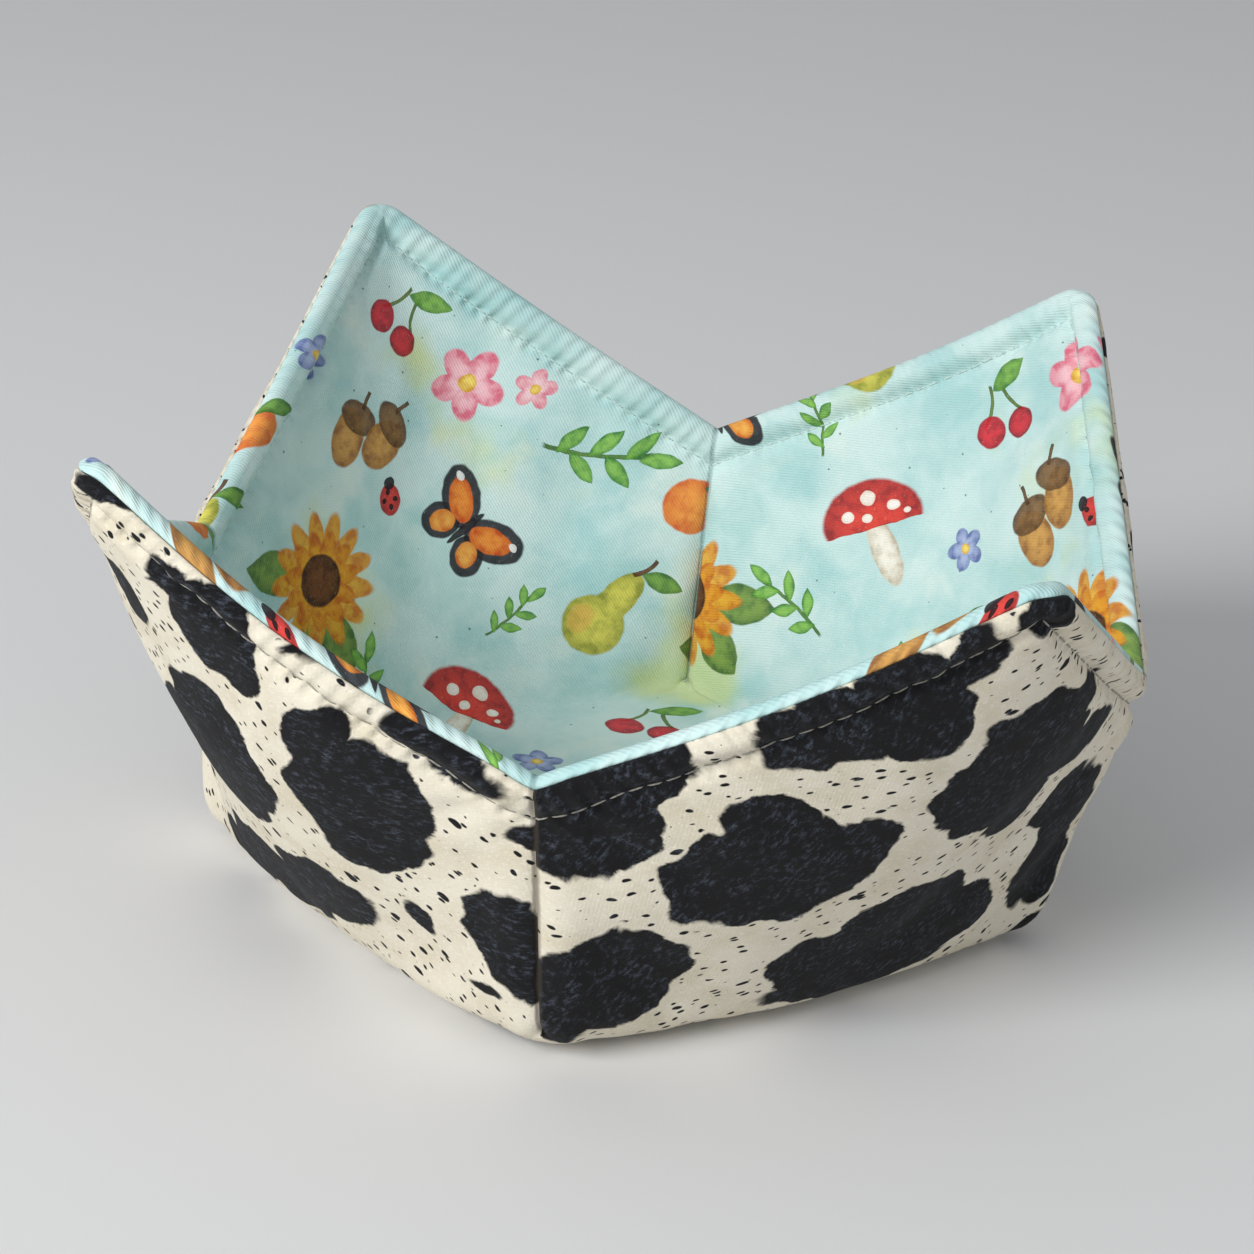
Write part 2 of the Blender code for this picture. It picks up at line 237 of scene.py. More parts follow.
def edge_middle(panel):
    """The middle of the base's edge under a panel, which bulges a little."""
    out, left, right = PANELS[panel]
    return (base_corner(left) + base_corner(right)) / 2 + out * EDGE_BULGE


def point(panel):
    """The cloth's corner at the top of a panel."""
    out = PANELS[panel][0]
    foot = out * (BASE_HALF + EDGE_BULGE) + UP * HALF_WALL
    return foot + unit(out + UP * POINT_SLOPE) * PANEL_LENGTH * BIAS_TAKE_UP + np.array(POINT_SETTLE[panel])


def half_width(up):
    """Half the flat panel's width at distances up from the base's edge."""
    rise = BASE_HALF + (SEAM_TOP_ALONG - BASE_HALF) * np.maximum(up, 0) / SEAM_TOP_UP
    return np.where(up <= SEAM_TOP_UP, rise, PANEL_LENGTH - up)


def side_edge(panel, side, up):
    """The panel's edge: up its seam, and from the seam's top along the rim to the point."""
    out, left, right = PANELS[panel]
    corner = right if side > 0 else left
    start, top, tip = base_corner(corner) + UP * CORNER_SETTLE[corner][2], seam_top(corner), point(panel)
    rise = np.clip(up / SEAM_TOP_UP, 0, 1)[..., None]
    along = np.clip((up - SEAM_TOP_UP) / (PANEL_LENGTH - SEAM_TOP_UP), 0, 1)[..., None]
    aside = np.cross(UP, out) * side
    bow = (out * BOW_OUT + aside * BOW_ASIDE + UP * BOW_UP) * RIM_BOW[panel][int(side > 0)]
    bowed = bow * (4 * along * (1 - along)) ** BOW_SHARPNESS
    return start + (top - start) * rise + (tip - top) * along + bowed


def middle_line(panel, up):
    """The panel's middle, from the base's edge to the point, with a slight belly."""
    out = PANELS[panel][0]
    foot, tip = edge_middle(panel), point(panel)
    along = (up / PANEL_LENGTH)[..., None]
    proud = unit(np.cross(tip - foot, unit(np.cross(out, UP))))
    proud *= np.sign(proud @ out)
    return foot + (tip - foot) * along + proud * BELLY * 4 * along * (1 - along)


def wall(panel, side, along, up):
    """Places on the wall's mid-surface, from their places on the flat panel."""
    middle = middle_line(panel, up)
    near, far = side_edge(panel, side, up), side_edge(panel, -side, up)
    reach = near - middle
    spread = unit(near - far)
    sideways = spread * np.sum(reach * spread, axis=-1, keepdims=True)
    share = (along / np.maximum(half_width(up), 1e-6))[..., None]
    return middle + sideways * share + (reach - sideways) * share**2


def base(x, y):
    """Places on the base's mid-surface, from their places on the flat base."""
    across, deep = (x / BASE_HALF + 1) / 2, (y / BASE_HALF + 1) / 2
    place = np.zeros(x.shape + (3,))
    for corner, way in CORNERS.items():
        weight = (across if way[0] > 0 else 1 - across) * (deep if way[1] > 0 else 1 - deep)
        lift = np.maximum((weight - LIFT_START) / (1 - LIFT_START), 0) ** 2 * CORNER_SETTLE[corner][2]
        place += base_corner(corner) * weight[..., None] + UP * lift[..., None]
    for out, _, _ in PANELS.values():
        outward, sideways = out[0] * x + out[1] * y, out[1] * x + out[0] * y
        bulge = (1 - (sideways / BASE_HALF) ** 2) * (np.maximum(outward, 0) / BASE_HALF) ** 2
        place += out * (EDGE_BULGE * bulge)[..., None]
    return place


def round_off(panel, distance):
    """How far the soft fold along a base edge cuts its corner, at distances from the edge."""
    out = PANELS[panel][0]
    share = np.maximum(1 - np.abs(distance) / FOLD_REACH, 0) / 2
    return (unit(out + UP * POINT_SLOPE) - out) * (FOLD_REACH * share**2)[..., None]


def neighbour(panel, side):
    """The panel that shares the seam on that side."""
    corner = PANELS[panel][2 if side > 0 else 1]
    return next(name for name, sides in PANELS.items() if corner in sides[1:] and name != panel)


def flat_spot(panel, side, along, up):
    """Where places of a panel lie on the flat cloth."""
    out = PANELS[panel][0]
    return out * (BASE_HALF + up)[..., None] + np.cross(UP, out) * (side * along)[..., None]


def mid_surface(panel, side, along, up):
    """The mid-surface at places on the flat cloth, on the base where up is below zero."""
    beside = neighbour(panel, side)
    spot = flat_spot(panel, side, along, np.minimum(up, 0))
    low = base(spot[..., 0], spot[..., 1]) + round_off(beside, BASE_HALF - along)
    high = wall(panel, side, along, np.maximum(up, 0))
    to_seam = np.where(up < SEAM_TOP_UP, np.maximum(half_width(up) - along, 0), FOLD_REACH)
    share = np.maximum(1 - np.abs(up) / FOLD_REACH, 0) ** 2
    high = high + round_off(beside, to_seam) * share[..., None]
    return np.where((up < 0)[..., None], low, high) + round_off(panel, up)


def tip_inset(edge_place, distance):
    """How far inside the cloth's edge a rim row runs, so that its point is rounded."""
    radius = TIP_RADIUS - distance
    if radius <= 0:
        return np.full_like(edge_place, distance)
    turn = np.arccos(np.minimum(edge_place / radius, 1) * DIAGONAL) - pi / 4
    return TIP_RADIUS - radius * np.cos(turn)


def rim_row(columns, distance):
    """A row at a distance from the cloth's edge: along and up for each column."""
    foot, top = columns * BASE_HALF, columns * SEAM_TOP_ALONG
    share = tip_inset(columns * RIM_EDGE, distance) / ((PANEL_LENGTH - foot) * DIAGONAL)
    return top + (foot - top) * share, (PANEL_LENGTH - top) * (1 - share)


def low_row(columns, up):
    """A row at a distance up from the base's edge."""
    foot, top = columns * BASE_HALF, columns * SEAM_TOP_ALONG
    return foot + (top - foot) * up / (PANEL_LENGTH - top), np.full_like(columns, up)


def base_row(columns, size):
    """A square row inside the base."""
    return columns * BASE_HALF * size, np.full_like(columns, BASE_HALF * (size - 1))


def half_columns():
    """The columns of half a panel, from its middle at 0 to its seam at 1."""
    close_to_seam = [1 - gap / BASE_HALF for gap in NEAR_SEAM]
    close_to_middle = [gap / BASE_HALF for gap in NEAR_MIDDLE]
    inner, outer = close_to_middle[-1], close_to_seam[-1]
    count = round((outer - inner) * BASE_HALF / COLUMN_STEP)
    between = [inner + (outer - inner) * step / count for step in range(1, count)]
    return np.array(close_to_middle + between + close_to_seam[::-1])


HALF_COLUMNS = half_columns()
MIDDLE_COLUMN = len(HALF_COLUMNS) - 1
PANEL_COLUMNS = 2 * MIDDLE_COLUMN + 1


class Cloth:
    """The wall as one grid: rows from the base's middle up to the crown, columns all round."""

    def __init__(self):
        self.rows = self.row_list()
        places, flats, seam_gap, rim_gap = [], [], [], []
        for kind, value in self.rows:
            row_of = {"base": base_row, "low": low_row, "rim": rim_row}.get(kind, self.wall_row)
            along, up = row_of(HALF_COLUMNS, value)
            row_places, row_flats = self.all_round(along, up)
            places.append(row_places)
            flats.append(row_flats)
            gap = np.where(up > 0, (1 - HALF_COLUMNS) * BASE_HALF, FAR)
            seam_gap.append(np.tile(np.concatenate([gap[:0:-1], gap]), len(PANELS)))
            height = CLOTH_SIDE / 2 - np.abs(row_flats).sum(axis=1) * DIAGONAL
            rim_gap.append(np.where(kind == "rim", value, height))
        self.mid = np.array(places)
        self.flat = np.array(flats)
        self.seam_gap = np.array(seam_gap)
        self.rim_gap = np.array(rim_gap)
        self.way = self.ways()
        self.sway = np.zeros_like(self.mid)

    @staticmethod
    def all_round(along, up):
        """A row of half a panel laid out round all panels: its mid-surface and its flat places."""
        places, flats = [], []
        for panel in PANELS:
            for side in (-1, 1):
                order = slice(None, 0, -1) if side < 0 else slice(0, None)
                places.append(mid_surface(panel, side, along[order], up[order]))
                flats.append(flat_spot(panel, side, along[order], up[order])[:, :2])
        return np.concatenate(places), np.concatenate(flats)

    def rim_ring(self, distance):
        """A row at a distance from the cloth's edge: its mid-surface and its flat places."""
        return self.all_round(*rim_row(HALF_COLUMNS, distance))

    @staticmethod
    def wall_row(columns, share):
        """A row part of the way from the rows near the rim down to those near the fold."""
        upper, lower = rim_row(columns, RIM_ROWS[0]), low_row(columns, FOLD_REACH)
        return tuple(a + (b - a) * share for a, b in zip(upper, lower))

    @staticmethod
    def row_list():
        """The rows' kinds and values, from the base's middle up."""
        rows = [("base", size) for size in np.linspace(0, 1 - BASE_MARGIN / BASE_HALF, BASE_ROWS)]
        rows += [("base", 1 - gap / BASE_HALF) for gap in reversed(FOLD_ROWS)]
        rows += [("low", up) for up in (0.0, *FOLD_ROWS)]
        rows += [("wall", share) for share in np.linspace(1, 0, WALL_ROWS + 2)[1:-1]]
        rows += [("rim", gap) for gap in RIM_ROWS]
        return rows

    def ways(self):
        """The ways out of the wall, which lean over to the mitre close to a seam."""
        along = np.roll(self.mid, -1, axis=1) - np.roll(self.mid, 1, axis=1)
        up = np.gradient(self.mid, axis=0)
        normal = unit(np.cross(along, up))
        twins = self.join_twins(normal)
        mitre = np.empty_like(normal)
        lean = np.maximum(1 - self.seam_gap / MITRE_REACH, 0) ** 2
        for first in range(0, len(PANELS) * PANEL_COLUMNS, PANEL_COLUMNS):
            middle, last = first + MIDDLE_COLUMN, first + PANEL_COLUMNS - 1
            mitre[:, first:middle] = twins[:, first][:, None]
            mitre[:, middle:last + 1] = twins[:, last][:, None]
        return normal + (mitre - normal) * lean[..., None]

    def join_twins(self, normal):
        """At each seam, where two panels' edges lie on each other, the way that mitres them."""
        on_base = [kind == "base" for kind, _ in self.rows]
        for panel in range(len(PANELS)):
            left = (panel + 1) % len(PANELS) * PANEL_COLUMNS
            right = (panel + 1) * PANEL_COLUMNS - 1
            ends = []
            for seam, inner in ((right, right - 1), (left, left + 1)):
                along = (self.mid[:, seam] - self.mid[:, inner]) * (1 if seam == right else -1)
                ends.append(unit(np.cross(along, np.gradient(self.mid[:, seam], axis=0))))
            both = ends[0] + ends[1]
            mitred = both / (1 + np.sum(ends[0] * ends[1], axis=-1, keepdims=True))
            mitred[on_base] = unit(both[on_base])
            normal[:, right] = normal[:, left] = mitred
        normal[0] = (0, 0, -1)
        return normal


cloth = Cloth()


def spaced(places, step):
    """The numbers of places that lie at least a step from the one kept before, with the last place of all."""
    kept = [0]
    for index, place in enumerate(places):
        if abs(place - places[kept[-1]]) >= step:
            kept.append(index)
    return kept[:-1] + [len(places) - 1]


def coarse_grid():
    """The rows and columns of the cloth's grid that the simulation uses."""
    stitch_row = cloth.rows.index(("rim", STITCH_INSET))
    quarter = cloth.flat[:stitch_row + 1, len(HALF_COLUMNS) // 2]
    rows = spaced(np.append(0, np.cumsum(np.linalg.norm(np.diff(quarter, axis=0), axis=1))), SIM_CELL)
    half = np.array(spaced(HALF_COLUMNS[::-1] * BASE_HALF, SIM_CELL))
    panel = np.array(sorted({*half, *(PANEL_COLUMNS - 1 - half)}))
    columns = [panel + number * PANEL_COLUMNS for number in range(len(PANELS))]
    return np.array(rows), np.concatenate(columns)


def simulated(places, held):
    """Where a grid of places comes to rest as cloth that is cut a little too large for its seams."""
    flat = places.reshape(-1, 3) * SIM_SCALE * MM
    bm = bmesh.new()
    bmesh.ops.create_grid(bm, x_segments=places.shape[1] - 1, y_segments=places.shape[0] - 1, size=1)
    for vert, place in zip(bm.verts, flat):
        vert.co = place
    bmesh.ops.remove_doubles(bm, verts=bm.verts, dist=WELD)
    bmesh.ops.triangulate(bm, faces=bm.faces, quad_method="ALTERNATE")
    sheet = piece_from(bm, "simulated_sheet")
    tree = KDTree(len(sheet.data.vertices))
    for vert in sheet.data.vertices:
        tree.insert(vert.co, vert.index)
    tree.balance()
    twin = np.array([tree.find(place)[1] for place in flat])
    group = sheet.vertex_groups.new(name="held")
    group.add([int(index) for index in set(twin[held.ravel()])], 1.0, "REPLACE")
    settle = sheet.modifiers.new("settle", "CLOTH")
    settle.settings.quality = SIM_QUALITY
    settle.settings.mass = SIM_MASS
    settle.settings.tension_stiffness = SIM_STIFFNESS
    settle.settings.compression_stiffness = SIM_STIFFNESS
    settle.settings.shear_stiffness = SIM_STIFFNESS / 2
    settle.settings.bending_stiffness = SIM_BENDING
    settle.settings.shrink_min = -SIM_GROWTH
    settle.settings.vertex_group_mass = group.name
    settle.settings.effector_weights.gravity = 0
    settle.collision_settings.use_collision = False
    settle.point_cache.frame_end = SIM_FRAMES
    scene = bpy.context.scene
    for frame in range(1, SIM_FRAMES + 1):
        scene.frame_set(frame)
    solved = sheet.evaluated_get(bpy.context.evaluated_depsgraph_get()).data
    moved = np.empty(len(solved.vertices) * 3)
    solved.vertices.foreach_get("co", moved)
    scene.frame_set(1)
    mesh = sheet.data
    bpy.data.objects.remove(sheet)
    bpy.data.meshes.remove(mesh)
    return moved.reshape(-1, 3)[twin].reshape(places.shape) / (SIM_SCALE * MM)


def buckled():
    """The cloth's own buckles between its seams and stitching, as a shift of each place of the fine grid."""
    rows, columns = coarse_grid()
    grid = np.ix_(rows, columns)
    start = cloth.mid[grid]
    held = (cloth.seam_gap[grid] < WELD) | (cloth.mid[grid][..., 2] < SIM_FLOOR)
    held[-1] = True
    nudge = np.where(held, 0, ripples(start, SIM_NUDGE_SIZE, SIM_SEED) * SIM_NUDGE)
    shift = simulated(start + cloth.way[grid] * nudge[..., None], held) - start
    shift *= (~held)[..., None]
    length = np.linalg.norm(shift, axis=-1, keepdims=True)
    shift *= SIM_CAP * np.tanh(length / SIM_CAP) / np.maximum(length, WELD)
    fine = np.zeros_like(cloth.mid)
    every_row, every_column = np.arange(rows[-1] + 1), np.arange(cloth.mid.shape[1])
    for axis in range(3):
        across = np.array([np.interp(every_column, columns, line) for line in shift[..., axis]])
        fine[:rows[-1] + 1, :, axis] = np.array([np.interp(every_row, rows, line) for line in across.T]).T
    for _ in range(SIM_SMOOTHING):
        for first in range(0, fine.shape[1], PANEL_COLUMNS):
            part = fine[:rows[-1] + 1, first:first + PANEL_COLUMNS]
            part[1:-1] = (part[:-2] + 2 * part[1:-1] + part[2:]) / 4
            part[:, 1:-1] = (part[:, :-2] + 2 * part[:, 1:-1] + part[:, 2:]) / 4
    return fine


def ripples(places, size, seed):
    """Smooth noise about zero at each place, of a size in millimetres."""
    shift = Vector((17.3 * seed, 5.1 * seed, 9.7 * seed))
    flat = places.reshape(-1, 3) / size
    values = [noise.noise(Vector(place) + shift) for place in flat]
    return np.array(values).reshape(places.shape[:-1])


def bell(distance, reach):
    """One at no distance, which fades softly to nought past a reach."""
    return np.exp(-((distance / reach) ** 2))


def gathers(face):
    """The small gathers that the topstitching draws into the roll, from -1 to 1."""
    aslant = np.abs(cloth.flat[..., :1] + cloth.flat[..., 1:] * (1, -1)) * DIAGONAL
    along = CLOTH_SIDE / 2 - aslant.min(axis=-1)
    # Each edge of the rim has a number of its own, so that no two gather alike.
    edge = np.sign(cloth.flat[..., 0]) + 3 * np.sign(cloth.flat[..., 1]) + 10 * np.argmin(aslant, axis=-1)
    across = cloth.rim_gap / GATHER_LENGTH + edge * EDGE_SHIFT
    places = np.stack([along / GATHER_SIZE, across, edge + face * FACE_SHIFT], axis=-1)
    fade = np.where(cloth.rim_gap < GATHER_PEAK, GATHER_FADE_UP, GATHER_FADE_DOWN)
    return ripples(places, 1.0, GATHER_SEED) * bell(cloth.rim_gap - GATHER_PEAK, fade)


def valley_folds(face):
    """Folds that fan out below each valley of the rim, from -1 to 1."""
    spread = np.sort(np.abs(cloth.flat), axis=-1) - (SEAM_TOP_ALONG, SEAM_TOP_UP + BASE_HALF)
    reach = np.linalg.norm(spread, axis=-1)
    turn = np.arctan2(-spread[..., 0], -spread[..., 1])
    wander = ripples(cloth.mid, VALLEY_WANDER_SIZE, VALLEY_SEED + face) * VALLEY_WANDER
    fan = np.sin(turn * VALLEY_FOLD_COUNT + wander + face)
    below_stitches = np.clip((cloth.rim_gap - STITCH_INSET) / VALLEY_FADE, 0, 1)
    return fan * bell(reach - VALLEY_REACH, VALLEY_SPREAD) * below_stitches


def skin_offset(face):
    """How far a face of the wall stands off the mid-surface, with its roll, dips and ripples."""
    gap, seam = cloth.rim_gap, cloth.seam_gap
    roll = ROLL_SWELL * np.sin(pi * np.clip(gap / STITCH_INSET, 0, 1))
    stitched = STITCH_DIP * bell(gap - STITCH_INSET, STITCH_DIP_REACH)
    seam_share = 1 if face > 0 else LINING_SEAM_SHARE
    tucked = SEAM_DIP * seam_share * np.exp(-seam / SEAM_DIP_REACH)
    wall_share = np.clip((cloth.mid[..., 2] - HALF_WALL - CALM_HEIGHT) / CALM_REACH, 0, 1)
    calm = wall_share if face > 0 else np.maximum(wall_share, LINING_CALM)
    soft = sum(depth * ripples(cloth.mid, size, face * 3 + number)
               for number, (size, depth) in enumerate(SOFTNESS))
    folds = VALLEY_DEPTH * valley_folds(face) + GATHER_DEPTH * gathers(face)
    beside_seam = SEAM_SWELL * seam_share * bell(seam - SEAM_SWELL_GAP, SEAM_SWELL_REACH)
    offset = HALF_WALL + roll + beside_seam + folds - np.maximum(stitched, tucked) + soft * calm
    return face * offset


def crown_place(face, tilt, radius=HALF_WALL):
    """Distance from the rim and offset of a place on the crown, tilted up from that face's side."""
    return HALF_WALL - radius * sin(tilt), face * radius * cos(tilt)


class Layer:
    """A closed layer of cloth or batting, made of rows round the cozy."""

    def __init__(self, name):
        self.name, self.rows, self.flats = name, [], []

    def grid_rows(self, offset, order):
        """Rows of the cloth's grid at an offset from the mid-surface."""
        for row in order:
            self.rows.append(cloth.mid[row] + cloth.way[row] * offset[row][..., None] + cloth.sway[row])
            self.flats.append(cloth.flat[row])

    def rim_ring(self, distance, offset, flat_distance):
        """One row near the rim, which the grid doesn't hold."""
        self.rows.append(cloth.rim_ring(distance)[0] + cloth.way[-1] * offset + cloth.sway[-1])
        self.flats.append(cloth.rim_ring(flat_distance)[1])

    def build(self):
        """The layer's mesh, closed at the base's middle and joined at the darts' seams."""
        rows, flats = np.array(self.rows), np.array(self.flats)
        count, across = rows.shape[:2]
        bm = bmesh.new()
        bmesh.ops.create_grid(bm, x_segments=across - 1, y_segments=count - 1, size=1)
        bm.verts.index_update()
        for vert, place in zip(bm.verts, rows.reshape(-1, 3)):
            vert.co = place * MM
        uv = bm.loops.layers.uv.new("cloth")
        spots = flats.reshape(-1, 2) * MM
        for face in bm.faces:
            for loop in face.loops:
                loop[uv].uv = spots[loop.vert.index]
        verts = list(bm.verts)
        firsts = range(0, across, PANEL_COLUMNS)
        ends = [first + end for first in firsts for end in (0, PANEL_COLUMNS - 1)]
        doubled = [verts[row * across + end] for row in range(count) for end in ends]
        doubled += verts[1:across] + verts[(count - 1) * across:-1]
        bmesh.ops.remove_doubles(bm, verts=list(set(doubled)), dist=WELD)
        bmesh.ops.dissolve_degenerate(bm, edges=bm.edges, dist=WELD)
        bmesh.ops.recalc_face_normals(bm, faces=bm.faces)
        if bm.calc_volume(signed=True) < 0:
            bmesh.ops.reverse_faces(bm, faces=bm.faces)
        return piece_from(bm, self.name)


def piece_from(bm, name):
    """A finished bmesh as an object with smooth faces."""
    mesh = bpy.data.meshes.new(name)
    bm.to_mesh(mesh)
    bm.free()
    mesh.shade_smooth()
    piece = bpy.data.objects.new(name, mesh)
    bpy.context.scene.collection.objects.link(piece)
    return piece


def inner_order():
    """The rows of a hidden face, from the rim down: each near the rim, every second one below."""
    kinds = [kind for kind, _ in cloth.rows]
    keep = [row for row, kind in enumerate(kinds) if kind == "rim" or row % 2 == 0]
    return keep[::-1]


def fabric(name, face, crown_tilts, tucks):
    """A cotton layer: its face, its roll over the crown, its seam allowance and its hidden side."""
    layer = Layer(name)
    skin = skin_offset(face)
    layer.grid_rows(skin, range(len(cloth.rows)))
    for tilt in crown_tilts:
        close = bell(tilt - crown_tilts[-1], CROWN_SEAM_REACH)
        distance, offset = crown_place(face, tilt, HALF_WALL - CROWN_SEAM_DIP * close)
        layer.rim_ring(distance, offset, HALF_WALL - HALF_WALL * tilt)
    flat_end = HALF_WALL - HALF_WALL * crown_tilts[-1]
    for distance, offset in tucks:
        layer.rim_ring(distance, offset, flat_end)
    layer.grid_rows(skin - face * FABRIC, inner_order())
    return layer.build()


def batting(name, face):
    """A layer of batting that fills its half of the wall, up to the topstitching."""
    layer = Layer(name)
    skin = skin_offset(face) - face * (FABRIC + BATTING_GAP)
    order = [row for row in inner_order() if cloth.rim_gap[row].min() > BATTING_EDGE]
    layer.grid_rows(skin, order[::-1])
    layer.grid_rows(np.full_like(skin, face * BATTING_GAP / 2), order)
    return layer.build()


def stitches(name, face):
    """The topstitching on one face: one thread loop for each stitch, its ends drawn into the cloth."""
    row = cloth.rows.index(("rim", STITCH_INSET))
    lie = cloth.mid[row] + cloth.way[row] * skin_offset(face)[row][..., None] + cloth.sway[row]
    out = unit(cloth.way[row]) * face
    arch = THREAD_RADIUS * np.sin(pi * np.linspace(*THREAD_ARCH, STITCH_KNOTS)) ** 0.5 - THREAD_SUNK
    bm = bmesh.new()
    for first in range(0, len(lie), PANEL_COLUMNS):
        middle = first + MIDDLE_COLUMN
        for order in (range(middle, first - 1, -1), range(middle, first + PANEL_COLUMNS)):
            run, ways, spots = lie[order], out[order], cloth.flat[row][order]
            measure = np.linalg.norm(spots - spots[0], axis=1)
            for start in np.arange(FIRST_STITCH, measure[-1] - LAST_STITCH, STITCH_PITCH):
                steps = np.linspace(start, start + STITCH_LENGTH, STITCH_KNOTS)
                knots, lifts = (
                    np.stack([np.interp(steps, measure, values[:, axis]) for axis in range(3)], axis=1)
                    for values in (run, ways)
                )
                add_thread(bm, knots + lifts * arch[:, None])
    return piece_from(bm, name)


def add_thread(bm, knots):
    """A short closed tube of thread along its knots, thinner at both ends."""
    circles, edges = [], []
    last = len(knots) - 1
    for index, knot in enumerate(knots):
        ahead = knots[min(index + 1, last)] - knots[max(index - 1, 0)]
        turn = Vector(ahead).to_track_quat("Z", "Y").to_matrix().to_4x4()
        radius = THREAD_RADIUS * MM * (THREAD_END_SHARE if index in (0, last) else 1)
        matrix = Matrix.Translation(Vector(knot) * MM) @ turn
        circle = bmesh.ops.create_circle(bm, segments=THREAD_SIDES, radius=radius, matrix=matrix)["verts"]
        circles.append(circle)
        edges.append(list({edge for vert in circle for edge in vert.link_edges}))
    for lower, upper in zip(edges, edges[1:]):
        bmesh.ops.bridge_loops(bm, edges=lower + upper)
    for circle in (circles[0], circles[-1]):
        bmesh.ops.contextual_create(bm, geom=circle)


class Shade:
    """A shader socket that takes part in sums, with numbers or with other sockets."""

    def __init__(self, tree, socket):
        self.tree, self.socket = tree, socket

    def node(self, kind, inputs, output=0, **settings):
        """Any other node, with its inputs by name or number."""
        made = self.tree.nodes.new(kind)
        for key, value in settings.items():
            setattr(made, key, value)
        for key, value in inputs.items():
            if isinstance(value, Shade):
                self.tree.links.new(value.socket, made.inputs[key])
            else:
                made.inputs[key].default_value = value
        return Shade(self.tree, made.outputs[output])

    def math(self, operation, *others):
        """A Math node on this socket and any others."""
        return self.node("ShaderNodeMath", dict(enumerate((self, *others))), operation=operation)

    def math_after(self, operation, other):
        """A Math node on another value and this socket, in that order."""
        return self.node("ShaderNodeMath", {0: other, 1: self}, operation=operation)

    def __add__(self, other):
        return self.math("ADD", other)

    def __sub__(self, other):
        return self.math("SUBTRACT", other)

    def __mul__(self, other):
        return self.math("MULTIPLY", other)

    def __truediv__(self, other):
        return self.math("DIVIDE", other)

    def __radd__(self, other):
        return self.math_after("ADD", other)

    def __rsub__(self, other):
        return self.math_after("SUBTRACT", other)

    def __rmul__(self, other):
        return self.math_after("MULTIPLY", other)

    def __rtruediv__(self, other):
        return self.math_after("DIVIDE", other)

    def __abs__(self):
        return self.math("ABSOLUTE")

    def least(self, other):
        return self.math("MINIMUM", other)

    def most(self, other):
        return self.math("MAXIMUM", other)

    def ramp(self, low, high):
        """0 up to low, 1 from high on, and smooth between; low may be the larger of the two."""
        if low > high:
            return 1 - self.ramp(high, low)
        return self.node("ShaderNodeMapRange", {0: self, 1: low, 2: high}, interpolation_type="SMOOTHSTEP")

    def part(self, axis):
        """One of the numbers in a vector or a colour."""
        kind = "ShaderNodeSeparateColor" if self.socket.type == "RGBA" else "ShaderNodeSeparateXYZ"
        return self.node(kind, {0: self}, output=axis)


class Place:
    """A place on a flat cloth in millimetres: two sockets, so that a long sum of shapes stays light."""

    def __init__(self, x, y):
        self.x, self.y = x, y

    def local(self, x, y, wide, tall, turn=0):
        """This place as seen from an ellipse: its middle is nought and its edge is one away."""
        level, lean = cos(radians(turn)), sin(radians(turn))
        if not turn:
            return Place(
                self.x.math("MULTIPLY_ADD", 1 / wide, -x / wide),
                self.y.math("MULTIPLY_ADD", 1 / tall, -y / tall),
            )
        across = self.y.math("MULTIPLY_ADD", lean / wide, -(x * level + y * lean) / wide)
        along = self.y.math("MULTIPLY_ADD", level / tall, (x * lean - y * level) / tall)
        return Place(
            self.x.math("MULTIPLY_ADD", level / wide, across),
            self.x.math("MULTIPLY_ADD", -lean / tall, along),
        )

    def square(self):
        """The squared distance from this place's nought."""
        return self.x.math("MULTIPLY_ADD", self.x, self.y * self.y)

    def length(self):
        """The distance from this place's nought."""
        return self.square().math("SQRT")

    def vector(self, seed=0.0):
        """This place as one vector, with a seed for its third number."""
        return self.x.node("ShaderNodeCombineXYZ", {"X": self.x, "Y": self.y, "Z": float(seed)})

    def clouds(self, size, detail=2.0, rough=0.5, seed=0, output=0):
        """Noise between 0 and 1 whose lumps have a size in millimetres."""
        inputs = {"Vector": self.vector(seed * size), "Scale": 1 / size, "Detail": detail, "Roughness": rough}
        return self.x.node("ShaderNodeTexNoise", inputs, output=output)

    def cells(self, size, output=0, seed=0):
        """The distance to the nearest of some scattered dots, or with output 1 that dot's own number."""
        inputs = {"Vector": self.local(-37.0 * seed, 0, 1, 1).vector(), "Scale": 1 / size}
        made = self.x.node("ShaderNodeTexVoronoi", inputs, output=output, voronoi_dimensions="2D")
        return made.part(0) if output else made

    def dots(self, size, rarity, girth, soft, seed=0):
        """Scattered dots of uneven size, left out where their number is under the rarity."""
        number = self.cells(size, output=1, seed=seed)
        return ((number - rarity) * girth - self.cells(size, seed=seed)).ramp(-soft, soft)

    def wobbled(self, size, reach, detail=1.0, seed=0):
        """This place pushed about by noise, up to a reach in millimetres."""
        push = self.clouds(size, detail, seed=seed, output=1)
        return Place(
            (push.part(0) - 0.5).math("MULTIPLY_ADD", reach * 2, self.x),
            (push.part(1) - 0.5).math("MULTIPLY_ADD", reach * 2, self.y),
        )


def over(below, above, cover):
    """One colour over another, by how much it covers."""
    return cover.node("ShaderNodeMix", {0: cover, 6: below, 7: above}, output=2, data_type="RGBA")


def rgb(red, green, blue):
    """A colour as a shader takes it, from how it looks on a scale of 255."""
    linear = [c / 255 / 12.92 if c < 10.3 else ((c / 255 + 0.055) / 1.055) ** 2.4 for c in (red, green, blue)]
    return (*linear, 1.0)


FIBRE_SHINE = 0.2
SHEEN_ROUGHNESS = 0.6


